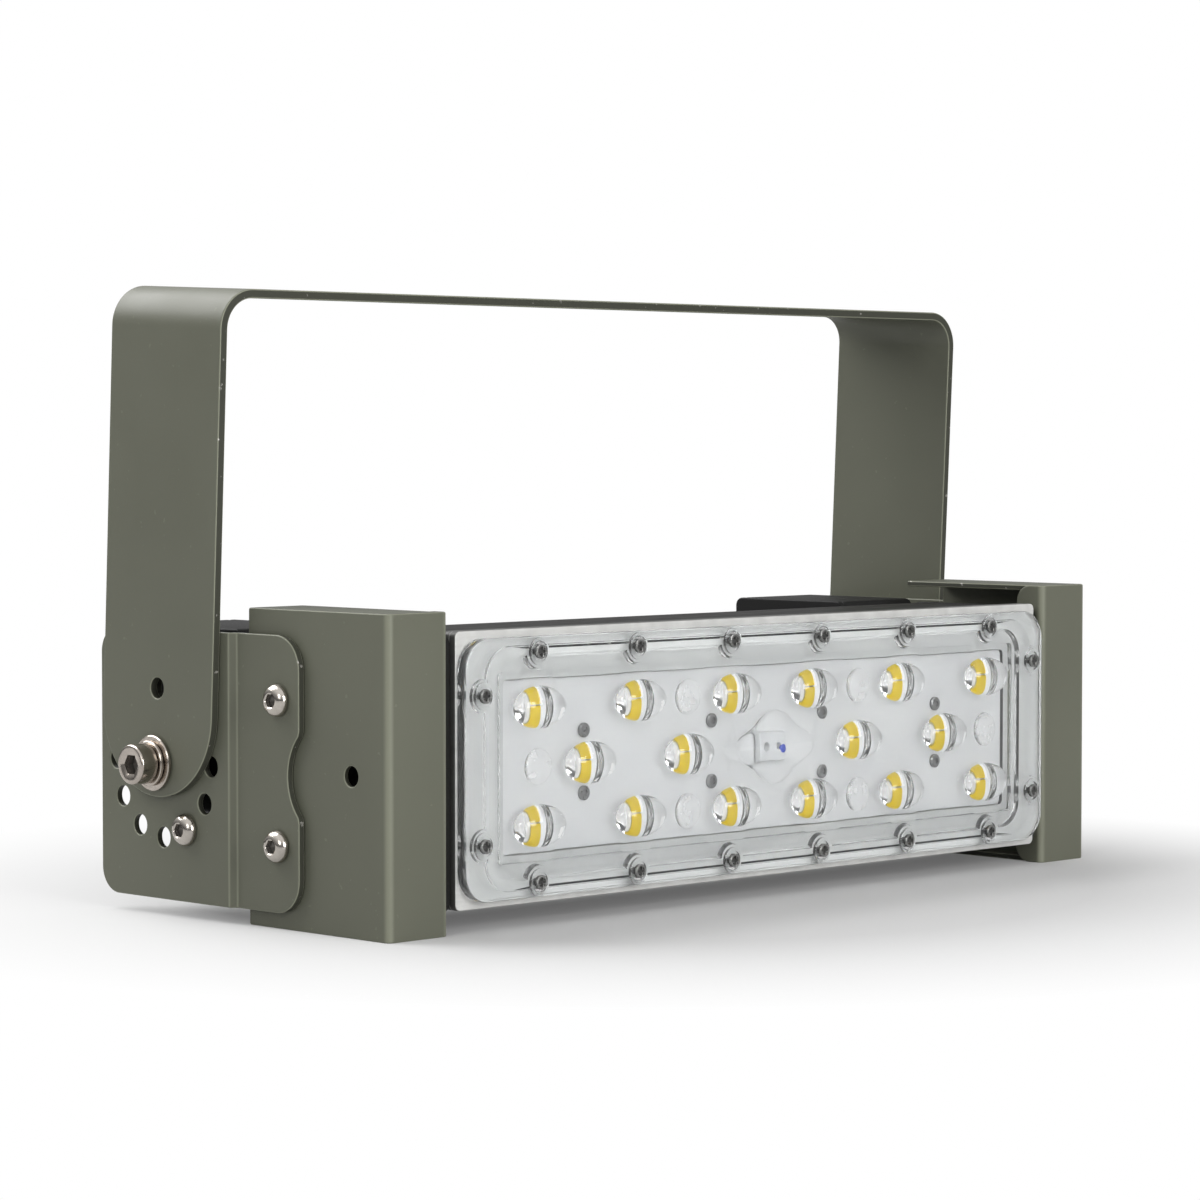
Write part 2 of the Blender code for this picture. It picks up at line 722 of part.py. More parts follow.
def place_fasteners(pattern, places):
    """Puts a copy of the pattern at each named place, then drops the pattern itself."""
    for name, place, outward in places:
        copy_to(name, pattern, place, outward)
    bpy.data.objects.remove(pattern, do_unlink=True)


def plate_fasteners():
    nut_face = WALL_IN - GAP
    seat = PLATE_OUT + GAP
    screws, nuts = [], []
    for label, side in SIDES:
        for row, (y, z) in zip(("lower", "upper"), plate_screw_places()):
            outward = (side, 0.0, 0.0)
            screws.append((f"side_plate_screw_{label}_{row}", (side * seat, y, z), outward))
            nuts.append((f"side_plate_nut_{label}_{row}", (side * nut_face, y, z), (-side, 0.0, 0.0)))
    grip = seat - nut_face + BUTTON_NUT_HEIGHT + SCREW_TAIL
    place_fasteners(button_pattern(grip), screws)
    place_fasteners(nut_pattern(BUTTON_NUT, BUTTON_SHANK, BUTTON_NUT_HEIGHT), nuts)


def lock_fasteners():
    """The two lock screws, parked in the index circle below the arms."""
    nut_face = JOG_IN - GAP
    seat = JOG_OUT + GAP
    y, z = index_place(math.radians(PARKED_ANGLE))
    screws = [(f"lock_screw_{label}", (side * seat, y, z), (side, 0.0, 0.0)) for label, side in SIDES]
    nuts = [(f"lock_nut_{label}", (side * nut_face, y, z), (-side, 0.0, 0.0)) for label, side in SIDES]
    grip = seat - nut_face + BUTTON_NUT_HEIGHT + SCREW_TAIL
    place_fasteners(button_pattern(grip), screws)
    place_fasteners(nut_pattern(BUTTON_NUT, BUTTON_SHANK, BUTTON_NUT_HEIGHT), nuts)


def pivot_fasteners():
    """Screw, spring washer and flat washer outside each arm, and a nut inside each side plate."""
    washer_in = ARM_OUT + GAP
    spring_in = washer_in + PIVOT_WASHER_SHEET + GAP
    seat = spring_in + PIVOT_SPRING_WASHER_SHEET + GAP
    nut_face = JOG_IN - GAP
    y, z = pivot_place()
    named = {"screw": seat, "washer": washer_in, "spring_washer": spring_in}
    places = {}
    for kind, reach in named.items():
        places[kind] = [(f"pivot_{kind}_{label}", (side * reach, y, z), (side, 0.0, 0.0))
                        for label, side in SIDES]
    nuts = [(f"pivot_nut_{label}", (side * nut_face, y, z), (-side, 0.0, 0.0)) for label, side in SIDES]
    place_fasteners(pivot_pattern(seat - nut_face + PIVOT_NUT_HEIGHT), places["screw"])
    flat = washer_pattern(PIVOT_WASHER, PIVOT_SHANK, PIVOT_WASHER_SHEET)
    place_fasteners(flat, places["washer"])
    spring = washer_pattern(PIVOT_SPRING_WASHER, PIVOT_SHANK, PIVOT_SPRING_WASHER_SHEET)
    place_fasteners(spring, places["spring_washer"])
    place_fasteners(nut_pattern(PIVOT_NUT, PIVOT_SHANK, PIVOT_NUT_HEIGHT), nuts)


def yoke():
    """A flat bar bent to a U; its origin is on the pivot axis, and it leans a little forward."""
    corners = [
        (-ARM_OUT, -YOKE_TOE, 0.0),
        (-ARM_OUT, YOKE_RISE, YOKE_BEND),
        (ARM_OUT, YOKE_RISE, YOKE_BEND),
        (ARM_OUT, -YOKE_TOE, 0.0),
        (ARM_IN, -YOKE_TOE, 0.0),
        (ARM_IN, YOKE_RISE - YOKE_SHEET, YOKE_BEND - YOKE_SHEET),
        (-ARM_IN, YOKE_RISE - YOKE_SHEET, YOKE_BEND - YOKE_SHEET),
        (-ARM_IN, -YOKE_TOE, 0.0),
    ]
    half = YOKE_WIDTH / 2
    body = prism("yoke", rounded(corners), "Y", -half, half, olive_paint())
    toe = []
    for k in range(4 * ROUND_STEPS + 1):
        angle = math.pi + math.pi * k / (4 * ROUND_STEPS)
        toe.append((half * math.cos(angle), half - YOKE_TOE + half * math.sin(angle)))
    toe += [(half, YOKE_RISE + OVERRUN), (-half, YOKE_RISE + OVERRUN)]
    ends = (-ARM_OUT - OVERRUN, ARM_OUT + OVERRUN)
    shape = prism("toe", toe, "X", ends[0], ends[1], olive_paint())
    tools = [combine(body, [shape], "INTERSECT")]
    cuts = []
    for side in (-1, 1):
        faces = (side * ARM_IN, side * ARM_OUT)
        cuts.append(bore_between("X", (0.0, 0.0), PIVOT_SHANK + 2 * BORE_CLEARANCE, *faces))
        cuts.append(bore_between("X", (0.0, INDEX_RADIUS), INDEX_HOLE, *faces))
        size = (YOKE_SLOT_LENGTH, YOKE_SLOT_WIDTH)
        slot = rounded_box((side * YOKE_SLOT_SPACING / 2, 0.0), size, YOKE_SLOT_WIDTH / 2 - GAP / 2)
        cuts.append(prism("slot", slot, "Z", YOKE_RISE - YOKE_SHEET - OVERRUN,
                          YOKE_RISE + OVERRUN, olive_paint()))
    cuts.append(bore("Z", (0.0, 0.0), YOKE_CENTRE_HOLE, YOKE_RISE - YOKE_SHEET, YOKE_RISE))
    tools.append(combine(body, cuts, "DIFFERENCE"))
    place = Matrix.Translation((0.0, world_y(PIVOT_SETBACK), PIVOT_RISE))
    turn = Matrix.Rotation(math.radians(YOKE_LEAN), 4, "X")
    for item in [body] + tools:
        item.matrix_world = place @ turn
    return smooth(body)


def heat_sink():
    """A comb of fins along the lamp; the brackets screw into the ends of its base."""
    front = world_y(SINK_SETBACK)
    root = world_y(SINK_SETBACK + SINK_BASE)
    tip = world_y(SINK_BACK)
    outline = [(front, SINK_TOP), (front, SINK_BOTTOM)]
    rises = fin_rises()
    half = FIN_SHEET / 2
    for k, rise in enumerate(rises):
        if k > 0:
            outline.append((root, rise - half))
        outline += [(tip, rise - half), (tip, rise + half)]
        if k < FIN_COUNT - 1:
            outline.append((root, rise + half))
    body = prism("heat_sink", outline, "X", -MODULE_END, MODULE_END, black_metal())
    cuts = []
    for _, side in SIDES:
        for place in lip_screw_places():
            inner = side * (LIP_OUT - LIP_SCREW_LENGTH)
            cuts.append(bore_between("X", place, LIP_SCREW_SHANK + 2 * BORE_CLEARANCE, inner,
                                     side * MODULE_END, SMALL_SIDES))
    for place in lens_screw_places().values():
        cuts.append(bore("Y", on_module(place), LENS_SCREW_SHANK + 2 * BORE_CLEARANCE,
                         front, root - 2 * OVERRUN, SMALL_SIDES))
    combine(body, cuts, "DIFFERENCE")
    return body


def sink_end_plate(label, side):
    """A black sheet that closes the fins' ends and bolts to the bracket's lip."""
    front = world_y(END_PLATE_FRONT)
    back = world_y(END_PLATE_FRONT + END_PLATE_DEPTH)
    radius = END_PLATE_SHEET
    corners = [
        (front, END_PLATE_BOTTOM, radius),
        (back, END_PLATE_BOTTOM, radius),
        (back, END_PLATE_TOP, radius),
        (front, END_PLATE_TOP, radius),
    ]
    low, high = sorted((side * END_PLATE_IN, side * END_PLATE_OUT))
    outline = rounded(corners, 3)
    body = prism("sink_end_plate_" + label, outline, "X", low, high, black_metal())
    cuts = []
    for place in lip_screw_places():
        cuts.append(bore("X", place, LIP_SCREW_SHANK + 2 * BORE_CLEARANCE, low, high, SMALL_SIDES))
    combine(body, cuts, "DIFFERENCE")
    return body


def lip_screws():
    places = []
    for label, side in SIDES:
        for row, (y, z) in zip(("lower", "upper"), lip_screw_places()):
            seat = side * (LIP_OUT + GAP)
            places.append((f"bracket_screw_{label}_{row}", (seat, y, z), (side, 0.0, 0.0)))
    length = LIP_SCREW_LENGTH + GAP
    place_fasteners(pan_pattern(LIP_SCREW_HEAD, LIP_SCREW_SHANK, LIP_SCREW_HEAD_HEIGHT, length), places)


def module_plate():
    """The bare metal plate behind the cover, with a pocket for the board and a gasket groove."""
    front = world_y(MODULE_FACE)
    back = world_y(MODULE_FACE + MODULE_PLATE_SHEET)
    outline = rounded_box((0.0, MODULE_RISE), (2 * MODULE_END, MODULE_PLATE_HEIGHT), BRACKET_SHEET, 2)
    body = prism("module_plate", outline, "Y", front, back, bare_aluminium())
    size = (BOARD_LENGTH + 2 * POCKET_MARGIN, BOARD_HEIGHT + 2 * POCKET_MARGIN)
    floor = world_y(BOARD_SETBACK + BOARD_SHEET) + GAP
    pocket = rounded_box((0.0, MODULE_RISE), size, POCKET_MARGIN, 3)
    cuts = [prism("pocket", pocket, "Y", front - OVERRUN, floor, steel())]
    cuts.append(gasket_ring("groove", front - OVERRUN, front + GASKET_SHEET + GAP,
                            GASKET_WIDTH + 2 * GAP))
    for place in lens_screw_places().values():
        cuts.append(bore("Y", on_module(place), LENS_SCREW_SHANK + 2 * BORE_CLEARANCE, front, back,
                         SMALL_SIDES))
    for place in board_hole_places():
        cuts.append(bore("Y", on_module(place), BOARD_HOLE, floor, back, SMALL_SIDES))
    combine(body, cuts, "DIFFERENCE")
    return body


def gasket_ring(name, low, high, width):
    """A rounded ring between the board's pocket and the cover's screws."""
    middle = (LENS_LENGTH - 2 * GASKET_INSET_X, LENS_HEIGHT - 2 * GASKET_INSET_Z)
    rings = []
    for along, reach in ((low, width), (high, width), (high, -width), (low, -width)):
        size = (middle[0] + reach, middle[1] + reach)
        outline = rounded_box((0.0, MODULE_RISE), size, LENS_CORNER / 2 + reach / 2, 4)
        rings.append([to_point("Y", along, a, b) for a, b in outline])
    return build_mesh(name, rings, False, grey_rubber())


def lens_gasket():
    front = world_y(MODULE_FACE)
    return gasket_ring("lens_gasket", front, front + GASKET_SHEET, GASKET_WIDTH)


def lens_outline(inset_x, inset_z, radius):
    size = (LENS_LENGTH - 2 * inset_x, LENS_HEIGHT - 2 * inset_z)
    return rounded_box((0.0, MODULE_RISE), size, radius)


def dome(place, length, height, rise, base):
    """A low dome on the cover's field, long across the lamp."""
    centre = on_module(place)
    loops = []
    seat = base + LENS_WALL / 2
    loops.append([to_point("Y", seat, a, b) for a, b in oval(centre, length, height)])
    top = math.sin(math.radians(DOME_CROWN))
    for k in range(DOME_RINGS):
        angle = math.radians(DOME_CROWN) * k / (DOME_RINGS - 1)
        share = math.cos(angle)
        outline = oval(centre, length * share, height * share)
        loops.append([to_point("Y", base - rise * math.sin(angle) / top, a, b) for a, b in outline])
    return build_mesh("dome", loops, True, clear_plastic())


def oval(centre, length, height):
    unit = circle((0.0, 0.0), 1.0, DOME_SIDES)
    return [(centre[0] + a * length / 2, centre[1] + b * height / 2) for a, b in unit]


def boss_outline(place):
    """A round boss, cut off flat where the raised rim ends."""
    limit_x = LENS_LENGTH / 2 - LENS_STEP_INSET_X + LENS_STEP
    limit_z = LENS_HEIGHT / 2 - LENS_STEP_INSET_Z + LENS_STEP
    points = []
    for x, z in circle(place, LENS_BOSS_RADIUS, HOLE_SIDES):
        if abs(place[0]) < limit_x:
            z = max(-limit_z, min(limit_z, z))
        points.append(on_module((x, z)))
    return points


def lens_cover():
    """The clear tray: a screwed flange, stepped rims, screw bosses and a lens over each LED pair."""
    back = world_y(MODULE_FACE - GAP)
    front = world_y(LENS_FRONT)
    rim = front - LENS_STEP
    field = world_y(LENS_FIELD)
    inner_x = LENS_FIELD_INSET_X - LENS_RIM_SLOPE
    inner_z = LENS_FIELD_INSET_Z - LENS_RIM_SLOPE
    steps = [
        (0.0, 0.0, LENS_CORNER, back),
        (0.0, 0.0, LENS_CORNER, front + LENS_EDGE_ROUND),
        (LENS_EDGE_ROUND, LENS_EDGE_ROUND, LENS_CORNER, front),
        (LENS_STEP_INSET_X - LENS_STEP, LENS_STEP_INSET_Z - LENS_STEP, LENS_CORNER, front),
        (LENS_STEP_INSET_X, LENS_STEP_INSET_Z, LENS_CORNER, rim),
        (inner_x, inner_z, LENS_CORNER, rim),
        (LENS_FIELD_INSET_X, LENS_FIELD_INSET_Z, LENS_CORNER - LENS_RIM_SLOPE, field),
    ]
    rings = []
    for inset_x, inset_z, radius, along in steps:
        outline = lens_outline(inset_x, inset_z, radius)
        rings.append([to_point("Y", along, a, b) for a, b in outline])
    body = build_mesh("lens_cover", rings, True, clear_plastic())
    adds = []
    for place in lens_screw_places().values():
        adds.append(prism("boss", boss_outline(place), "Y", rim, front + LENS_FLANGE / 2,
                          clear_plastic()))
    for place in led_places():
        adds.append(dome(place, LENS_LENGTH_DOME, LENS_HEIGHT_DOME, LENS_RISE_DOME, field))
    for place in blank_places():
        outline = circle(on_module(place), BLANK_RADIUS, HOLE_SIDES)
        adds.append(prism("blank", outline, "Y", field - BLANK_RISE, field + LENS_WALL / 2,
                          clear_plastic()))
    adds.append(dome((0.0, 0.0), HUB_LENGTH, HUB_HEIGHT, HUB_RISE, field))
    combine(body, adds, "UNION")
    hollow = lens_outline(LENS_FIELD_INSET_X, LENS_HOLLOW_INSET, POCKET_MARGIN)
    cuts = [prism("hollow", hollow, "Y", field + LENS_WALL, back + OVERRUN, steel())]
    for place in lens_screw_places().values():
        cuts.append(bore("Y", on_module(place), LENS_SCREW_SHANK + 2 * BORE_CLEARANCE, rim, back,
                         SMALL_SIDES))
    combine(body, cuts, "DIFFERENCE")
    return smooth(body, 40.0)


def lens_cover_screws():
    seat = world_y(LENS_FRONT) - LENS_STEP - GAP
    pattern = pan_pattern(LENS_SCREW_HEAD, LENS_SCREW_SHANK, LENS_SCREW_HEAD_HEIGHT, LENS_SCREW_LENGTH)
    places = []
    for label, place in lens_screw_places().items():
        x, z = on_module(place)
        places.append((f"lens_cover_screw_{label}", (x, seat, z), (0.0, -1.0, 0.0)))
    place_fasteners(pattern, places)


def led_board():
    """The white board with what is soldered to it: an LED pair behind each lens, and a terminal."""
    front = world_y(BOARD_SETBACK)
    root = front + BOARD_SHEET / 2
    outline = rounded_box((0.0, MODULE_RISE), (BOARD_LENGTH, BOARD_HEIGHT), POCKET_MARGIN, 3)
    body = prism("led_board", outline, "Y", front, front + BOARD_SHEET, white_board())
    parts = []
    for place in led_places():
        for row in (-1, 1):
            x, z = on_module(place)
            z += row * LED_PITCH / 2
            low = (x - LED_SIDE / 2, front - LED_RISE, z - LED_SIDE / 2)
            high = (x + LED_SIDE / 2, root, z + LED_SIDE / 2)
            parts.append(box("chip", low, high, white_board()))
    outline = rounded_box((0.0, MODULE_RISE), (TERMINAL_LENGTH, TERMINAL_HEIGHT), POCKET_MARGIN / 2, 2)
    parts.append(prism("terminal", outline, "Y", front - TERMINAL_RISE, root, white_board()))
    combine(body, parts, "UNION")
    cuts = []
    for place in board_hole_places():
        cuts.append(bore("Y", on_module(place), BOARD_HOLE, front, front + BOARD_SHEET, SMALL_SIDES))
    combine(body, cuts, "DIFFERENCE")
    return body


def box_outline(inset):
    """A driver box seen along the lamp, drawn in by an inset."""
    centre = (world_y((BOX_FRONT + BOX_BACK) / 2), (BOX_BOTTOM + BOX_TOP) / 2)
    size = (BOX_BACK - BOX_FRONT - 2 * inset, BOX_TOP - BOX_BOTTOM - 2 * inset)
    return rounded_box(centre, size, max(BOX_EDGE - inset, BOX_EDGE / 4), 3)


def box_foot_places():
    ys = (world_y(BOX_FRONT) + BOX_FOOT_INSET_Y, world_y(BOX_BACK) - BOX_FOOT_INSET_Y)
    return [(y, BOX_TOP - BOX_FOOT_INSET_Z) for y in ys]


def driver_box(label, side):
    """A moulded box on feet that stand on the side plate; it is open towards the middle."""
    mouth = side * BOX_IN
    low, high = sorted((mouth, side * BOX_OUTER))
    body = prism("driver_box_" + label, box_outline(0.0), "X", low, high, black_plastic())
    ends = sorted((mouth - side * OVERRUN, side * (BOX_OUTER - BOX_WALL)))
    cuts = [prism("hollow", box_outline(BOX_WALL), "X", *ends, steel())]
    if side < 0:
        cuts.append(bore("Z", gland_place(), GLAND_THREAD + 2 * BORE_CLEARANCE, BOX_BOTTOM,
                         BOX_BOTTOM + BOX_WALL))
    combine(body, cuts, "DIFFERENCE")
    adds = []
    ends = sorted((side * (BOX_OUTER - BOX_WALL / 2), side * (JOG_IN - GAP)))
    for place in box_foot_places():
        adds.append(prism("foot", circle(place, BOX_FOOT_RADIUS, HOLE_SIDES), "X", *ends,
                          black_plastic()))
    combine(body, adds, "UNION")
    return smooth(body)


def driver_box_lid(label, side):
    """A lid whose spigot presses into the box's mouth."""
    face = side * (BOX_IN - GAP)
    ends = sorted((face, side * (BOX_IN - GAP - BOX_LID_SHEET)))
    body = prism("driver_box_lid_" + label, box_outline(0.0), "X", *ends, black_plastic())
    inset = BOX_WALL + GAP
    ends = sorted((side * (BOX_IN - GAP - BOX_LID_SHEET / 2), side * (BOX_IN + BOX_LID_SPIGOT)))
    spigot = prism("spigot", box_outline(inset), "X", *ends, black_plastic())
    ring = combine(body, [spigot], "UNION")
    ring.name = "spigot_" + label
    ends = sorted((face, side * (BOX_IN + BOX_LID_SPIGOT + OVERRUN)))
    hollow = prism("recess", box_outline(inset + BOX_WALL), "X", *ends, steel())
    combine(body, [hollow], "DIFFERENCE")
    return smooth(body)


def driver_board(label, side):
    """The mains driver's board, with its coil and capacitors soldered on."""
    ys = (world_y(BOX_FRONT) + BOX_WALL + GAP, world_y(BOX_BACK) - BOX_WALL - GAP)
    zs = (BOX_BOTTOM + BOX_WALL + GLAND_BORE + DRIVER_MARGIN, BOX_TOP - BOX_WALL - BOX_RIB)
    face = BOX_OUTER - BOX_WALL - DRIVER_SETBACK
    xs = sorted((side * face, side * (face + DRIVER_SHEET)))
    body = box("driver_board_" + label, (xs[0], ys[0], zs[0]), (xs[1], ys[1], zs[1]), green_board())
    middle = ((ys[0] + ys[1]) / 2, (zs[0] + zs[1]) / 2)
    root = side * (face + DRIVER_SHEET / 2)
    ends = sorted((root, side * (face - COIL_RISE)))
    outline = rounded_box(middle, (COIL_SIDE, COIL_SIDE), DRIVER_MARGIN, 2)
    parts = [prism("coil", outline, "X", *ends, green_board())]
    ends = sorted((root, side * (face - CAPACITOR_LENGTH)))
    for y in (ys[0] + CAPACITOR_INSET, ys[1] - CAPACITOR_INSET):
        outline = circle((y, middle[1]), CAPACITOR_RADIUS, SMALL_SIDES)
        parts.append(prism("capacitor", outline, "X", *ends, green_board()))
    combine(body, parts, "UNION")
    return smooth(body)


def gland_place():
    return (-BOX_MIDDLE, world_y((BOX_FRONT + BOX_BACK) / 2))


def cable_gland():
    """The cord inlet screwed into the left box's floor: hex body and domed cap."""
    top = BOX_BOTTOM + BOX_WALL
    shoulder = BOX_BOTTOM - GAP
    hex_low = shoulder - GLAND_HEX_HEIGHT
    cap_low = hex_low - GLAND_GAP - GLAND_CAP_HEIGHT
    hexagonal = hex_ring(GLAND_HEX, FINE_SIDES - FINE_SIDES % 6)
    sides = len(hexagonal)
    neck = GLAND_THREAD / 2
    cap = GLAND_CAP / 2
    seat = cap_low + GLAND_CAP_HEIGHT / 6
    steps = [
        (top, neck),
        (shoulder, neck),
        (shoulder, hexagonal),
        (hex_low, hexagonal),
        (hex_low, neck + GLAND_GAP),
        (cap_low + GLAND_CAP_HEIGHT, neck + GLAND_GAP),
        (cap_low + GLAND_CAP_HEIGHT, cap),
        (cap_low + GLAND_CAP_HEIGHT / 4, cap),
        (cap_low, cap * 0.8),
        (cap_low, GLAND_SEAL_BORE / 2 + GAP),
        (seat, GLAND_SEAL_BORE / 2 + GAP),
        (seat, GLAND_BORE / 2 + GLAND_GAP),
        (top, GLAND_BORE / 2 + GLAND_GAP),
    ]
    body = smooth(lofted("cable_gland", steps, False, black_plastic(), sides))
    x, y = gland_place()
    body.location = (x, y, 0.0)
    outer = GLAND_BORE / 2 + GLAND_GAP - GAP
    low = seat + GAP
    high = shoulder - GAP
    inner = GLAND_SEAL_BORE / 2
    steps = [(low, outer), (high, outer), (high, inner), (low, inner)]
    seal = smooth(lofted("gland_seal", steps, False, grey_rubber(), SMALL_SIDES * 2))
    seal.location = (x, y, 0.0)


def main():
    clear_scene()
    for label, side in SIDES:
        end_bracket(label, side)
        side_plate(label, side)
        sink_end_plate(label, side)
        driver_box(label, side)
        driver_box_lid(label, side)
        driver_board(label, side)
    plate_fasteners()
    lock_fasteners()
    pivot_fasteners()
    lip_screws()
    yoke()
    heat_sink()
    module_plate()
    lens_gasket()
    lens_cover()
    lens_cover_screws()
    led_board()
    cable_gland()


main()
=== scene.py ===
"""Scene of an LED flood light: body, yoke, cover and fasteners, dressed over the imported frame.

Shapes are worked out in millimetres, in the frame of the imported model: +X along the lamp, -Y the
side that the light leaves, +Z up, with the floor at Z = 0. show() turns them to metres.
"""
from __future__ import annotations

import logging
import math
from dataclasses import dataclass, field, replace
from enum import Enum
from typing import Iterable, Optional, Sequence

import bmesh
import bpy
import numpy as np
from mathutils.geometry import delaunay_2d_cdt
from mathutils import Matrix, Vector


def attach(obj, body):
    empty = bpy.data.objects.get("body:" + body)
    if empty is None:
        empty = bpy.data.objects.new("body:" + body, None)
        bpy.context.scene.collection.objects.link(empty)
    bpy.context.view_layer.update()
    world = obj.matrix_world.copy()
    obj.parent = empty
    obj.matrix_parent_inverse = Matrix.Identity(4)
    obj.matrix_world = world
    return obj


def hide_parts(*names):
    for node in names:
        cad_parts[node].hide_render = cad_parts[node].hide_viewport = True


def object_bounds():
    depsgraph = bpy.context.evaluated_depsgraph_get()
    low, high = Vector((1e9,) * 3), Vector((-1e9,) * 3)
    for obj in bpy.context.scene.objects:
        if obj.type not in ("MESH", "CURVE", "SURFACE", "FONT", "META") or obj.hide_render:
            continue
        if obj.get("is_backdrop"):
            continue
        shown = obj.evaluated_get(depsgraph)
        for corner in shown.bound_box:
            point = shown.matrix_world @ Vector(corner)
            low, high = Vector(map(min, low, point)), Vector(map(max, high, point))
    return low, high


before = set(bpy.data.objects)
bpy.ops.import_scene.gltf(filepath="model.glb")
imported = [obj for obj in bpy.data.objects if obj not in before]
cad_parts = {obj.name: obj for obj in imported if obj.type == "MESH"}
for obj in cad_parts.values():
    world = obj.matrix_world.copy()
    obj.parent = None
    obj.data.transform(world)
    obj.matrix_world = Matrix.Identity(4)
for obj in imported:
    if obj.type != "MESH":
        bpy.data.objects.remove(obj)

LOG = logging.getLogger("flood_light")
MM = 0.001
TAU = 2.0 * math.pi
QUARTER = math.pi / 2
Array = np.ndarray
Numbers = Sequence[float]
Profile = Sequence[tuple[float, float | Array]]
Colour = tuple[float, float, float]
Socket = bpy.types.NodeSocket

# Places that several parts share. A setback is a distance behind the brackets' front face.
SIDES = (("left", -1), ("right", 1))
FRONT_FACE = -64.2
MIDDLE = 51.0
PIVOT = (104.3, 49.8)
PIVOT_BORE = 4.3
INDEX_BORE = 3.4
INDEX_RADIUS = 24.3
PLATE_SCREWS = ((48.7, 26.5), (48.7, 72.5))
SCREW_BORE = 3.3
END_SCREWS = ((9.4, 20.0), (9.4, 82.0))
END_BORE = 1.6
OUT = (1.0, 0.0, 0.0)
FRONT = (0.0, -1.0, 0.0)
WHITE = (1.0, 1.0, 1.0)


def depth(setback: float) -> float:
    """A setback as a place in Y."""
    return FRONT_FACE + setback


# Flat shapes


def unit(rows: Array) -> Array:
    """Rows scaled to length one."""
    rows = np.asarray(rows, float)
    return rows / np.maximum(np.linalg.norm(rows, axis=-1, keepdims=True), 1e-12)


def angles(count: int) -> Array:
    """Equal steps round a circle."""
    return TAU * np.arange(count) / count


def arc(centre: Numbers, radius: float | Numbers, t: Array) -> Array:
    """Points on a circle, or an ellipse of two radii: centre + radius * (cos t, sin t)."""
    way = np.stack([np.cos(t), np.sin(t)], axis=1)
    return np.asarray(centre, float) + np.asarray(radius, float) * way


def ring(centre: Numbers, radius: float | Numbers, count: int) -> Array:
    """A whole circle or ellipse, anticlockwise."""
    return arc(centre, radius, angles(count))


def fillet(corners: Sequence[Numbers], steps: int = 10, closed: bool = True) -> Array:
    """Corners (a, b, radius) joined by straight runs, with each corner rounded by its radius.

    An arc's centre lies on the corner's bisector at radius / sin(half angle), and the arc turns
    from one tangent point to the other.

    Args:
        corners: The corners in order.
        steps: Points in an arc, less one.
        closed: Whether the last corner joins the first.

    Returns:
        An (n, 2) array.
    """
    points = np.array([c[:2] for c in corners], float)
    runs = []
    for k, (here, corner) in enumerate(zip(points, corners)):
        radius = corner[2]
        if radius == 0.0 or (not closed and k in (0, len(points) - 1)):
            runs.append(here[None])
            continue
        back, ahead = unit(points[k - 1] - here), unit(points[(k + 1) % len(points)] - here)
        half = math.acos(float(np.clip(back @ ahead, -1.0, 1.0))) / 2
        centre = here + unit(back + ahead) * radius / math.sin(half)
        first, last = (here + way * radius / math.tan(half) - centre for way in (back, ahead))
        start = math.atan2(first[1], first[0])
        sweep = (math.atan2(last[1], last[0]) - start + math.pi) % TAU - math.pi
        runs.append(arc(centre, radius, start + sweep * np.linspace(0.0, 1.0, steps + 1)))
    return np.concatenate(runs)


def rounded_rectangle(centre: Numbers, size: Numbers, radius: float, steps: int = 8) -> Array:
    """A rectangle with round corners, anticlockwise."""
    signs = ((-0.5, -0.5), (0.5, -0.5), (0.5, 0.5), (-0.5, 0.5))
    (a, b), (wide, high) = centre, size
    return fillet([(a + s * wide, b + t * high, radius) for s, t in signs], steps)


def area_of(loop: Array) -> float:
    """The signed area: positive where the loop runs anticlockwise."""
    after = np.roll(loop, -1, axis=0)
    return float((loop[:, 0] * after[:, 1] - loop[:, 1] * after[:, 0]).sum() / 2)


def mitres(loop: Array) -> Array:
    """How each corner moves when the loop grows by one: (n0 + n1) / (1 + n0.n1)."""
    run = np.roll(loop, -1, axis=0) - loop
    after = unit(np.stack([run[:, 1], -run[:, 0]], axis=1))
    before = np.roll(after, 1, axis=0)
    return (after + before) / (1.0 + (after * before).sum(axis=1, keepdims=True))


def cut_at(loop: Array, places: Array) -> Array:
    """A loop with a point put in wherever one of its edges crosses one of the places in a."""
    run = np.roll(loop, -1, axis=0) - loop
    span = np.where(np.abs(run[:, :1]) < 1e-9, np.nan, run[:, :1])
    share = (places[None, :] - loop[:, :1]) / span
    edge, place = np.nonzero((share > 1e-6) & (share < 1 - 1e-6))
    t = share[edge, place]
    order = np.argsort(np.concatenate([np.arange(len(loop)), edge + t]), kind="stable")
    return np.concatenate([loop, loop[edge] + t[:, None] * run[edge]])[order]


def inside(points: Array, loops: Iterable[Array]) -> Array:
    """Whether each point lies in the area between loops, by the even-odd rule."""
    odd = np.zeros(len(points), bool)
    x, y = points[:, :1], points[:, 1:]
    for loop in loops:
        after = np.roll(loop, -1, axis=0)
        crosses = (loop[:, 1] > y) != (after[:, 1] > y)
        rise = np.where(after[:, 1] == loop[:, 1], 1.0, after[:, 1] - loop[:, 1])
        at = loop[:, 0] + (y - loop[:, 1]) / rise * (after[:, 0] - loop[:, 0])
        odd ^= (crosses & (x < at)).sum(axis=1) % 2 == 1
    return odd


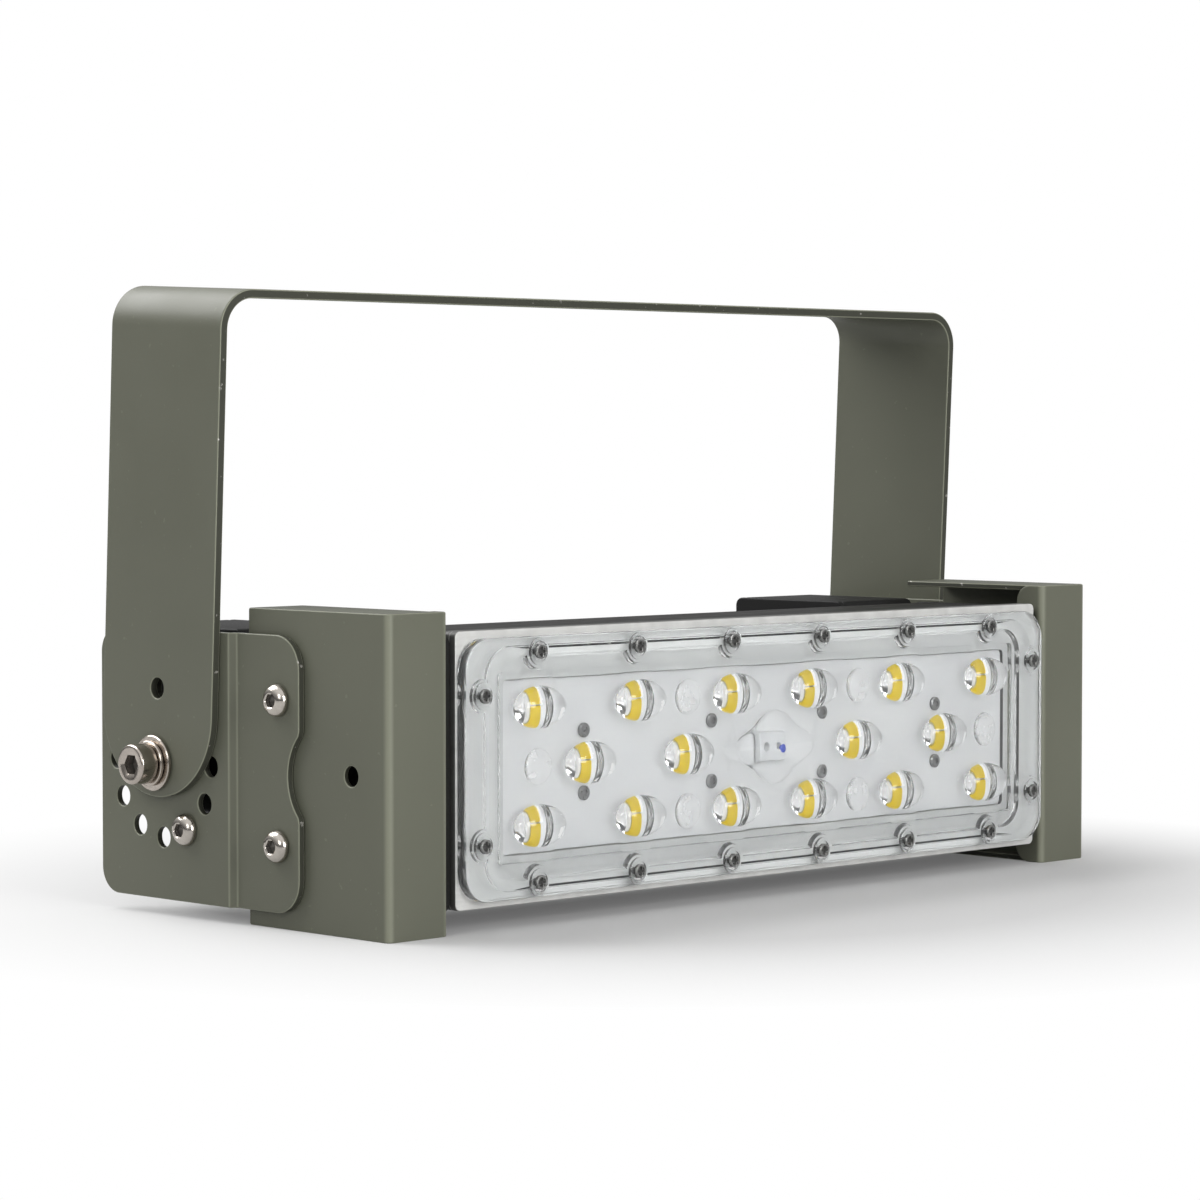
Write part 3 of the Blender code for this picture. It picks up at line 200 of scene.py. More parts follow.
def triangles_between(loops: Sequence[Array], folds: Numbers = ()) -> Array:
    """Delaunay triangles of the area between loops, with an edge along every fold line.

    Args:
        loops: The outline and its holes.
        folds: Places in a; every two corners on such a line are joined.

    Returns:
        A (k, 3) array of indices into the loops' points, one loop after another, anticlockwise.
    """
    points = np.concatenate(loops)
    edges = []
    for loop in loops:
        ids = np.arange(len(loop)) + len(edges)
        edges += zip(ids.tolist(), np.roll(ids, -1).tolist())
    for place in folds:
        on_line = np.nonzero(np.abs(points[:, 0] - place) < 1e-6)[0]
        on_line = on_line[np.argsort(points[on_line, 1])].tolist()
        edges += zip(on_line, on_line[1:])
    made = delaunay_2d_cdt([tuple(p) for p in points], edges, [], 0, 1e-5)
    source = np.array([ids[0] if ids else -1 for ids in made[3]])
    faces = source[np.array(made[2])]
    faces = faces[(faces >= 0).all(axis=1)]
    faces = faces[inside(points[faces].mean(axis=1), loops)]
    a, b, c = (points[faces[:, k]] for k in range(3))
    turn = (b[:, 0] - a[:, 0]) * (c[:, 1] - a[:, 1]) - (b[:, 1] - a[:, 1]) * (c[:, 0] - a[:, 0])
    faces[turn < 0] = faces[turn < 0][:, ::-1]
    return faces[np.abs(turn) > 1e-8]


# Solid bodies


@dataclass
class Body:
    """Points with their faces, their exact normals where a piece has them, and its wear and painted
    light: worn rims with a painted highlight and shade.
    """

    points: Array
    quads: Array = field(default_factory=lambda: np.zeros((0, 4), int))
    tris: Array = field(default_factory=lambda: np.zeros((0, 3), int))
    normals: Optional[Array] = None
    wear: Optional[Array] = None

    def __post_init__(self) -> None:
        """Gives a body that has no wear and painted light values a value of zero at every point."""
        if self.wear is None:
            self.wear = np.zeros(len(self.points))

    def outward(self) -> "Body":
        """The same body with its faces turned out, by the sign of its volume.

        The volume is the sum of the tetrahedra from the origin to every triangle.
        """
        halves = np.concatenate([self.tris, self.quads[:, [0, 1, 2]], self.quads[:, [0, 2, 3]]])
        a, b, c = (self.points[halves[:, k]] for k in range(3))
        if np.einsum("ij,ij->i", a, np.cross(b, c)).sum() >= 0:
            return self
        return replace(self, quads=self.quads[:, ::-1], tris=self.tris[:, ::-1])

    def moved(self, offset: Numbers, basis: Array = np.eye(3)) -> "Body":
        """The body turned to a basis, given as rows, and then moved by an offset."""
        normals = None if self.normals is None else unit(self.normals @ basis)
        return replace(self, points=self.points @ basis + offset, normals=normals).outward()

    def handed(self, side: int) -> "Body":
        """This body for the right end, or its mirror image across X = 0 for the left."""
        return self if side > 0 else self.moved((0.0, 0.0, 0.0), np.diag([-1.0, 1.0, 1.0]))


def summed(bodies: Iterable[Body]) -> Body:
    """All the bodies in one, still as separate shells."""
    bodies = list(bodies)
    starts = np.cumsum([0] + [len(b.points) for b in bodies])
    exact = all(b.normals is not None for b in bodies)
    return Body(
        np.concatenate([b.points for b in bodies]),
        np.concatenate([b.quads + start for b, start in zip(bodies, starts)]),
        np.concatenate([b.tris + start for b, start in zip(bodies, starts)]),
        np.concatenate([b.normals for b in bodies]) if exact else None,
        np.concatenate([b.wear for b in bodies]))


def strips(rows: int, count: int, first: int = 0) -> Array:
    """Quads between neighbouring rows of a closed grid: rows run down, and columns run round."""
    r, c = np.meshgrid(np.arange(rows - 1) * count, np.arange(count), indexing="ij")
    after = (c + 1) % count
    quads = np.stack([r + count + c, r + count + after, r + after, r + c], axis=-1)
    return quads.reshape(-1, 4) + first


class Fold:
    """A line, drawn in the plane of two axes, along which a flat sheet is folded."""

    SHARP_HALF = 3.0
    GUARD = 0.35
    # How much paint wear and painted highlight a sharp bend's middle gets.
    CREASE_WEAR = 0.28

    def __init__(self, corners: Sequence[Numbers], axes: str, outer: int, steps: int) -> None:
        """Works out the folded line.

        Args:
            corners: The line's corners as (a, b, radius).
            axes: The plane's two axes and then the one that the fold lines run along, as in "XZY".
            outer: +1 where the sheet's outer face is on the line's right, and -1 on its left.
            steps: Steps round each bend.
        """
        line = fillet(corners, steps, closed=False)
        self.axes = ["XYZ".index(letter) for letter in axes]
        self.outer = outer
        span = np.diff(line, axis=0)
        run = unit(span)
        side = outer * np.stack([run[:, 1], -run[:, 0]], axis=1)
        normal = unit(np.concatenate([side[:1], unit(side[:-1] + side[1:]), side[-1:]]))
        self.along = np.concatenate([[0.0], np.cumsum(np.linalg.norm(span, axis=1))])
        mitre = np.ones(len(line))
        mitre[1:-1] = 1.0 / np.sqrt((1.0 + (run[:-1] * run[1:]).sum(axis=1)) / 2)
        self.columns = np.column_stack([line, normal, mitre]).T
        bent = self.along[1:-1]
        self.groups = np.split(bent, np.nonzero(np.diff(bent) > 1.5)[0] + 1)

    @property
    def length(self) -> float:
        """The sheet's flat length along the line."""
        return float(self.along[-1])

    @property
    def bends(self) -> Array:
        """Where the fold lines lie, with a line a little before and after each bend."""
        return np.concatenate([[g[0] - self.GUARD, *g, g[-1] + self.GUARD] for g in self.groups])

    def crease(self, u: Array) -> Array:
        """How much paint wear and painted highlight a sharp bend gets: least at its ends and most
        along its middle.
        """
        worn = np.zeros(len(u))
        for g in self.groups:
            middle, half = (g[0] + g[-1]) / 2, max((g[-1] - g[0]) / 2, 0.2)
            if half < self.SHARP_HALF:
                worn = np.maximum(worn, np.clip(1.3 - np.abs(u - middle) / half, 0.0, 1.0))
        return worn

    def apply(self, body: Body) -> Body:
        """Folds a flat body, whose points are (along u, across v, out w).

        A point lands on line(u) + w * mitre(u) * normal(u), where the mitre at a corner of the
        line is 1 / cos(half its turn).
        """
        u, v, w = body.points.T
        columns = [np.interp(u, self.along, column) for column in self.columns]
        line, normal = np.stack(columns[:2], axis=1), unit(np.stack(columns[2:4], axis=1))
        run = self.outer * np.stack([-normal[:, 1], normal[:, 0]], axis=1)
        du, dv, dw = body.normals.T
        points, normals = np.zeros((2, len(u), 3))
        points[:, self.axes] = np.column_stack([line + (w * columns[4])[:, None] * normal, v])
        normals[:, self.axes] = np.column_stack([du[:, None] * run + dw[:, None] * normal, dv])
        # Paint wear and a painted highlight along sharp bends, on the sheet's outer side.
        worn = np.maximum(body.wear, self.crease(u) * (w > -0.1) * self.CREASE_WEAR)
        return replace(body, points=points, normals=unit(normals), wear=worn).outward()


def plate(loops: Sequence[Array], thickness: float, edge: float, folds: Numbers = (),
          rows: int = 3) -> Body:
    """A flat sheet with rounded rims, from w = 0 on its outer face down to minus its thickness.

    Round a rim, row t stands in by edge * (1 - cos t) and down by edge * (1 - sin t), with the
    normal cos t outwards and sin t up, and a wear and painted light value of 1 - |sin t|.

    Args:
        loops: The outline, then its holes, as (u, v) points.
        thickness: The sheet's thickness.
        edge: The rims' radius.
        folds: Places in u where the sheet is to bend.
        rows: Steps round each rim.

    Returns:
        A body with exact normals, and a wear and painted light value that is 1 on its rims, where
        paint chips and the finishes paint highlight and shade.
    """
    ways = [1 if (area_of(loop) > 0) == (k == 0) else -1 for k, loop in enumerate(loops)]
    loops = [loop[::way] for loop, way in zip(loops, ways)]
    low, high = loops[0][:, 0].min() + 2 * edge, loops[0][:, 0].max() - 2 * edge
    folds = np.array([f for f in folds if low < f < high])
    loops = [cut_at(loop, folds) for loop in loops]
    t = np.linspace(QUARTER, 0.0, rows + 1)
    t = np.concatenate([t, -t[::-1]])
    inset, sine, cosine = edge * (1 - np.cos(t)), np.sin(t), np.cos(t)
    level = np.repeat([0.0, 2 * edge - thickness], rows + 1) - edge * (1 - sine)

    def levelled(flat: Array, up: Array) -> Array:
        """Rows of (u, v), each given its height."""
        return np.dstack([flat, np.broadcast_to(up[:, None], flat.shape[:2])]).reshape(-1, 3)

    points, normals, quads, tops, bottoms = [], [], [], [], []
    first = 0
    for loop in loops:
        out = mitres(loop)
        points.append(levelled(loop - inset[:, None, None] * out, level))
        normals.append(levelled(cosine[:, None, None] * unit(out), sine))
        quads.append(strips(len(t), len(loop), first))
        tops.append(np.arange(len(loop)) + first)
        first += len(t) * len(loop)
        bottoms.append(np.arange(-len(loop), 0) + first)
    points, normals = np.concatenate(points), np.concatenate(normals)
    top, bottom = np.concatenate(tops), np.concatenate(bottoms)
    faces = triangles_between([points[ids, :2] for ids in tops], folds)
    tris = np.concatenate([top[faces], bottom[faces][:, ::-1]])
    # The rims' value paints a highlight on paint roundings and shade on rim walls, and lets paint
    # chip there.
    return Body(points, np.concatenate(quads), tris, normals, 1.0 - np.abs(normals[:, 2])).outward()


def standing(body: Body, axis: str, face: float, outer: int) -> Body:
    """A flat body stood up with its outer face across an axis.

    Args:
        body: A body from plate, whose (u, v) are the two other axes in X, Y, Z order.
        axis: The axis that the face looks along.
        face: Where the outer face is on it.
        outer: +1 where the face looks up the axis, and -1 down.

    Returns:
        The body in place.
    """
    order = np.array({"X": (2, 0, 1), "Y": (0, 2, 1), "Z": (0, 1, 2)}[axis])
    return body.moved(face * (order == 2), np.diag([1.0, 1.0, outer])[:, order])


def hexagonal(across: float, count: int) -> Array:
    """A hexagon's radius at equal angles: half its width / cos(angle from its side's middle)."""
    return across / 2 / np.cos(angles(count) % (TAU / 6) - TAU / 12)


def rings(profile: Profile, count: int) -> Array:
    """A turned profile's points: row k is (r(t) cos t, r(t) sin t, h)."""
    t = angles(count)
    radius = np.stack([np.broadcast_to(r, count) for _, r in profile])
    height = np.array([[h] for h, _ in profile]) + 0.0 * t
    return np.stack([radius * np.cos(t), radius * np.sin(t), height], axis=-1).reshape(-1, 3)


def turned(profile: Profile, count: int = 48, recess: int = 0) -> Body:
    """A solid turned about Z, from one flat or pointed end to the other.

    Args:
        profile: Pairs of height and radius; a radius may be an array of one value for each angle.
        count: Points round each row.
        recess: How many of the last rows lie in a recess, where the wear and painted light value is
            1 and metal is painted dark as shade.

    Returns:
        The body.
    """
    k, size = np.arange(count), len(profile) * count
    after, last = (k + 1) % count, size - count
    low, high = np.full(count, size), np.full(count, size + 1)
    caps = np.hstack([[low, k, after], [high, last + after, last + k]]).T
    ends = [[0.0, 0.0, profile[0][0]], [0.0, 0.0, profile[-1][0]]]
    wear = np.concatenate([np.arange(size) >= size - recess * count, [False, recess > 0]]) * 1.0
    points = np.concatenate([rings(profile, count), ends])
    return Body(points, strips(len(profile), count), caps, wear=wear).outward()


def bush(profile: Profile, count: int = 48) -> Body:
    """A closed profile turned about Z, which leaves a bore: the last row joins the first."""
    size = len(profile) * count
    return Body(rings(profile, count), strips(len(profile) + 1, count) % size).outward()


def pointed(body: Body, place: Numbers, axis: Numbers) -> Body:
    """A body about Z set at a place, with its Z turned to a level axis."""
    u = np.cross((0.0, 0.0, 1.0), axis)
    return body.moved(place, np.stack([u, np.cross(axis, u), axis]))


class Patchwork:
    """A closed surface sewn from loops, which are (x, z) round the middle of the lamp's face."""

    def __init__(self) -> None:
        """Starts with no loops."""
        self.points: list[Array] = []
        self.quads: list[Array] = []
        self.tris: list[Array] = []
        self.frost: list[Array] = []
        self.count = 0

    def loop(self, flat: Array, height: float) -> Array:
        """Adds a loop at a height in Y, and gives its indices."""
        y = np.full(len(flat), height)
        self.points.append(np.stack([flat[:, 0], y, flat[:, 1] + MIDDLE], axis=1))
        self.frost.append(np.zeros(len(flat)))
        self.count += len(flat)
        return np.arange(-len(flat), 0) + self.count

    def strip(self, *loops: Array) -> None:
        """Joins each loop to the next, which has as many points."""
        for a, b in zip(loops, loops[1:]):
            self.quads.append(np.stack([a, np.roll(a, -1), np.roll(b, -1), b], axis=1))

    def flat(self, *loops: Array) -> None:
        """Fills the area between an outline and its holes."""
        points = np.concatenate(self.points)
        faces = triangles_between([points[ids][:, [0, 2]] for ids in loops])
        self.tris.append(np.concatenate(loops)[faces])

    def crown(self, centre: Numbers, flat: Array, base: float, shares: Numbers, rises: Numbers,
              frost: float = 0.0) -> Array:
        """A cap over a rim, whose rows shrink to a point.

        Args:
            centre: The point's place.
            flat: The rim, from the centre.
            base: The rim's height in Y.
            shares: Each row's share of the rim.
            rises: How far each row stands out from the base.
            frost: How frosted the rows are.

        Returns:
            The rim's indices.
        """
        rows = [centre + flat] + [centre + flat * share for share in shares[:-1]]
        ids = [self.loop(row, base - rise) for row, rise in zip(rows, [0.0, *rises])]
        self.strip(*ids)
        top = self.loop(np.array([centre], float), base - rises[-1])
        after = np.roll(ids[-1], -1)
        self.tris.append(np.stack([ids[-1], after, np.full(len(after), top[0])], axis=1))
        for row in self.frost[-len(shares):]:
            row += frost
        return ids[0]

    def body(self) -> Body:
        """The surface as a body, whose wear says where it is frosted."""
        parts = (self.points, self.quads, self.tris, self.frost)
        points, quads, tris, frost = (np.concatenate(part) for part in parts)
        return Body(points, quads, tris, wear=frost)


# Finishes


class Shader:
    """The nodes of a material or of the world, round the shader that Blender starts them with."""

    def __init__(self, owner: bpy.types.ID, main: str = "Principled BSDF") -> None:
        """Takes the owner's nodes, and the name of its shader."""
        owner.use_nodes = True
        self.tree = owner.node_tree
        self.main = self.tree.nodes[main]
        self.place = self.add("TexCoord").outputs["Object"]

    @property
    def wear(self) -> Socket:
        """The piece's wear and painted light: worn and chipped paint with a painted highlight and
        shade on rims, painted shade in metal recesses and on metal rims, and frost on clear
        plastic.
        """
        return self.add("Attribute", attribute_name_="wear").outputs["Fac"]

    def add(self, kind: str, *inputs: object, **values: object) -> bpy.types.Node:
        """A new node.

        Args:
            kind: The node's type, after "ShaderNode".
            inputs: Values or sockets for its first inputs.
            values: Inputs by name, with "__" for a space, or properties, with "_" at the end.

        Returns:
            The node.
        """
        node = self.tree.nodes.new("ShaderNode" + kind)
        for key in [key for key in values if key.endswith("_")]:
            setattr(node, key[:-1], values.pop(key))
        self.set(node, **values)
        for socket, value in zip(node.inputs, inputs):
            self.feed(socket, value)
        return node

    def set(self, node: Optional[bpy.types.Node] = None, **values: object) -> None:
        """Sets or links inputs, by name, of a node or of the main shader; "__" is a space."""
        for key, value in values.items():
            self.feed((node or self.main).inputs[key.replace("__", " ")], value)

    def feed(self, socket: Socket, value: object) -> None:
        """Sets a socket's value, or links a socket to it."""
        if isinstance(value, Socket):
            self.tree.links.new(value, socket)
        elif isinstance(value, tuple) and len(value) == 3 and socket.type == "RGBA":
            socket.default_value = (*value, 1.0)
        else:
            socket.default_value = value

    def band(self, value: Socket, low: float, high: float, start: float = 0.0,
             end: float = 1.0) -> Socket:
        """A value carried from low and high to start and end, clamped."""
        return self.add("MapRange", value, low, high, start, end).outputs["Result"]

    def maths(self, kind: str, *values: object) -> Socket:
        """One sum of numbers."""
        return self.add("Math", *values, operation_=kind).outputs[0]

    def mix(self, share: object, first: object, second: object, colours: bool = True) -> Socket:
        """Two colours, or two numbers, mixed by a share."""
        node = self.add("Mix", share, data_type_="RGBA" if colours else "FLOAT")
        at = 6 if colours else 2
        self.feed(node.inputs[at], first)
        self.feed(node.inputs[at + 1], second)
        return node.outputs[2 if colours else 0]

    def noise(self, scale: float, detail: float = 2.0, stretch: Optional[Numbers] = None) -> Socket:
        """Smooth noise by place on the object, which may be scaled by axis."""
        place = self.place
        if stretch:
            place = self.add("Mapping", Vector=place, Scale=stretch).outputs[0]
        return self.add("TexNoise", Vector=place, Scale=scale, Detail=detail).outputs["Fac"]

    def bump(self, height: Socket, strength: float, distance: float, **under: Socket) -> Socket:
        """A normal tilted by a height, over the other one where Normal is given."""
        node = self.add("Bump", Height=height, Strength=strength, Distance=distance, **under)
        return node.outputs[0]


def shade(colour: Colour, factor: float) -> Colour:
    """A colour made lighter or darker."""
    return tuple(min(1.0, c * factor) for c in colour)


@dataclass(frozen=True)
class Look:
    """What every finish has: a name, the record's slot that it stands for, and a colour."""

    name: str
    slot: str
    colour: Colour

    def coat(self, s: Shader) -> None:
        """Lays the finish on a shader."""
        raise NotImplementedError

    def build(self) -> bpy.types.Material:
        """Makes the finish's material."""
        material = bpy.data.materials.new("finish_" + self.name)
        self.coat(Shader(material))
        return material

    def cloudy(self, s: Shader, value: Socket, low: float, high: float,
               start: float = 0.3) -> Socket:
        """The colour, shaded from low to high as a noise rises."""
        return s.mix(s.band(value, start, 0.7), shade(self.colour, low), shade(self.colour, high))


@dataclass(frozen=True)
class Paint(Look):
    """Satin powder coat: mottled a little, with a fine peel, a painted highlight on rims and bends,
    painted shade on rim walls, and chips.
    """

    roughness: float = 0.42
    chips: float = 0.68
    peel: float = 0.1
    primer: Colour = (0.40, 0.39, 0.36)

    def coat(self, s: Shader) -> None:
        """Lays the finish on a shader."""
        tone = self.cloudy(s, s.noise(9.0, 3.0), 0.93, 1.06)
        dust = s.band(s.noise(420.0), 0.715, 0.74, 0.0, 0.25)
        tone = s.mix(dust, tone, shade(self.colour, 1.9))
        worn = s.wear
        # Painted highlight: lighter paint on rounded rims and along sharp bends.
        tone = s.mix(s.band(worn, 0.0, 0.45, 0.0, 0.85), tone, shade(self.colour, 2.3))
        # Painted shade: darker paint on the rim walls, the sheets' cut edges.
        tone = s.mix(s.band(worn, 0.55, 0.95, 0.0, 0.95), tone, shade(self.colour, 0.33))
        patch = s.band(s.noise(380.0, 6.0), self.chips, self.chips + 0.03)
        chip = s.maths("MULTIPLY", patch, s.band(worn, 0.1, 0.3))
        rough = s.band(s.noise(35.0), 0.3, 0.7, self.roughness - 0.05, self.roughness + 0.06)
        fine = s.bump(s.noise(1500.0), self.peel, 0.0002)
        wave = s.bump(s.noise(220.0, 1.0), self.peel * 0.6, 0.0004, Normal=fine)
        s.set(Base__Color=s.mix(chip, tone, self.primer), Metallic=s.maths("MULTIPLY", chip, 0.7),
              Specular__IOR__Level=0.3, Roughness=rough,
              Normal=s.bump(chip, 0.35, -0.00015, Normal=wave))


@dataclass(frozen=True)
class Metal(Look):
    """Bare metal with lines drawn along one axis, a broken shine and painted shade in its recesses
    and on its rims.
    """

    roughness: float = 0.25
    metallic: float = 1.0
    lines: Colour = (1.0, 1.0, 1.0)
    stain: float = 0.12
    line_depth: float = 0.12
    gloss: float = 0.5
    # The colour of the painted shade in recesses and on rims.
    grime: Colour = (0.018, 0.018, 0.017)

    def coat(self, s: Shader) -> None:
        """Lays the finish on a shader."""
        drawn = s.noise(900.0, 3.0, self.lines)
        tone = self.cloudy(s, s.noise(160.0, 3.0), 1.0 - self.stain, 1.05, 0.35)
        tone = s.mix(s.band(drawn, 0.35, 0.7, 0.0, 0.35), tone, shade(self.colour, 0.7))
        # Painted shade: darker and less metallic where the wear and painted light value is high.
        painted_shade = s.wear
        rough = s.band(drawn, 0.3, 0.7, self.roughness * 0.75, self.roughness * 1.35)
        s.set(Base__Color=s.mix(s.maths("MULTIPLY", painted_shade, 0.85), tone, self.grime), Roughness=rough,
              Metallic=s.band(painted_shade, 0.0, 1.0, self.metallic, 0.3), Specular__IOR__Level=self.gloss,
              Normal=s.bump(drawn, self.line_depth, 0.0001))


@dataclass(frozen=True)
class Moulded(Look):
    """Opaque plastic, rubber or board lacquer with a fine grain."""

    roughness: float = 0.5
    grain: float = 0.15
    grain_scale: float = 1400.0
    variation: float = 0.08
    gloss: float = 0.5

    def coat(self, s: Shader) -> None:
        """Lays the finish on a shader."""
        tone = self.cloudy(s, s.noise(30.0, 3.0), 1.0 - self.variation, 1.0 + self.variation)
        grain = s.noise(self.grain_scale)
        rough = s.band(grain, 0.3, 0.7, self.roughness - 0.05, self.roughness + 0.07)
        s.set(Base__Color=tone, Roughness=rough, Specular__IOR__Level=self.gloss,
              Normal=s.bump(grain, self.grain, 0.0001))


@dataclass(frozen=True)
class Clear(Look):
    """Clear moulded plastic with a trace of flow lines, and frosted where it is worn."""

    roughness: float = 0.03
    index: float = 1.49
    clearness: float = 0.97
    frosted: float = 0.84

    def coat(self, s: Shader) -> None:
        """Lays the finish on a shader."""
        flow = s.noise(55.0, 2.0, (0.35, 1.0, 1.0))
        frost = s.wear
        fine = s.band(s.noise(300.0, 3.0), 0.45, 0.75, self.roughness, self.roughness * 3)
        s.set(Base__Color=self.cloudy(s, flow, 1.0, 1.02), IOR=self.index,
              Roughness=s.maths("MULTIPLY_ADD", frost, 0.22, fine),
              Transmission__Weight=s.band(frost, 0.0, 1.0, self.clearness, self.frosted),
              Normal=s.bump(flow, 0.05, 0.0005))


class Finish(Enum):
    """Every finish on the lamp, by the part that wears it."""

    OLIVE = Paint("olive_paint", "olive_paint", (0.118, 0.122, 0.092))
    STEEL = Metal("stainless_steel", "steel", (0.58, 0.54, 0.49), 0.16)
    STEEL_TURNED = Metal("turned_steel", "steel", (0.52, 0.47, 0.42), 0.18, lines=(9.0, 1.0, 1.0))
    SCREW_STEEL = Metal("cover_screw_steel", "steel", (0.36, 0.36, 0.35), 0.26)
    DARK_STEEL = Metal("dark_screw_steel", "steel", (0.30, 0.30, 0.30), 0.32)
    SINK = Metal("black_anodised", "black_anodised", (0.014, 0.014, 0.013), 0.5, 0.1,
                 (0.05, 1.0, 1.0), gloss=0.2)
    ALUMINIUM = Metal("milled_aluminium", "bare_aluminium", (0.72, 0.72, 0.70), 0.42, 0.25,
                      (0.06, 1.0, 1.0), line_depth=0.2)
    BACKING = Moulded("pale_backing", "bare_aluminium", (0.74, 0.75, 0.74), 0.5, 0.05,
                      variation=0.03)
    BLACK_PLASTIC = Moulded("black_plastic", "black_plastic", (0.01, 0.01, 0.01), 0.5, gloss=0.15)
    CLEAR = Clear("clear_cover", "clear_plastic", (0.97, 0.98, 0.985))
    BOARD = Moulded("white_solder_mask", "white_board", (0.93, 0.935, 0.94), 0.34, 0.05,
                    variation=0.02)
    CERAMIC = Moulded("led_ceramic", "white_board", (0.82, 0.70, 0.34), 0.4, 0.03)
    PHOSPHOR = Moulded("led_phosphor", "white_board", (0.95, 0.68, 0.0), 0.5, 0.12, 2200.0, 0.05,
                       0.1)
    WHITE_PLASTIC = Moulded("terminal_plastic", "white_board", (0.86, 0.87, 0.88), 0.3, 0.04)
    BLUE_PLASTIC = Moulded("terminal_mark", "white_board", (0.03, 0.08, 0.65), 0.3, 0.04)
    GREEN_BOARD = Moulded("driver_board_mask", "green_board", (0.02, 0.13, 0.05), 0.35, 0.06)
    GASKET = Moulded("gasket_rubber", "grey_rubber", (0.46, 0.46, 0.45), 0.7, 0.2)
    SEAL = Moulded("seal_rubber", "grey_rubber", (0.05, 0.05, 0.05), 0.7, 0.2)

    @property
    def material(self) -> bpy.types.Material:
        """The finish's material, made the first time that it is asked for."""
        return bpy.data.materials.get("finish_" + self.value.name) or self.value.build()


def placed(name: str, data: bpy.types.ID, **values: Numbers) -> bpy.types.Object:
    """A new object in the scene, with its location and turn where they are given."""
    item = bpy.data.objects.new(name, data)
    for key, value in values.items():
        setattr(item, key, value)
    bpy.context.scene.collection.objects.link(item)
    return item


def show(name: str, body: Body, finish: Finish, *nodes: str, rider: str = "head",
         seams: float = 35.0, sewn: bool = False) -> None:
    """Puts a body into the scene as a piece.

    Args:
        name: The piece's name.
        body: Its shape, in place.
        finish: What it wears.
        nodes: The CAD nodes that it stands for.
        rider: The CAD body that carries it.
        seams: The angle past which an edge is creased, where the shape has no normals of its own.
        sewn: Whether its patches were sewn in any order, so that they are turned out at the end.
    """
    body = body.outward()
    mesh = bpy.data.meshes.new(name)
    mesh.from_pydata((body.points * MM).tolist(), [], body.quads.tolist() + body.tris.tolist())
    mesh.validate()
    mesh.shade_smooth()
    mesh.attributes.new("wear", "FLOAT", "POINT").data.foreach_set("value", body.wear)
    if body.normals is not None:
        mesh.normals_split_custom_set_from_vertices(body.normals.tolist())
    else:
        mesh.set_sharp_from_angle(angle=math.radians(seams))
    mesh.materials.append(finish.material)
    if sewn:
        work = bmesh.new()
        work.from_mesh(mesh)
        bmesh.ops.recalc_face_normals(work, faces=work.faces)
        work.to_mesh(mesh)
        work.free()
    piece = placed(name, mesh)
    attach(piece, rider)
    if nodes:
        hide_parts(*nodes)
    LOG.info("%s: %d faces", name, len(mesh.polygons))


def both(name: str, body: Body, finish: Finish, node: str) -> None:
    """Shows a body of the right end, and its mirror image at the left end."""
    for label, side in SIDES:
        show(name.format(label), body.handed(side), finish, node.format(label))


def dress(names: Iterable[str], finish: Finish) -> None:
    """Gives CAD nodes that stay in view their finish."""
    for name in names:
        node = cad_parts[name]
        node.data.materials.clear()
        node.data.materials.append(finish.material)
        LOG.info("%s wears %s", name, finish.value.name)


# The lamp's parts


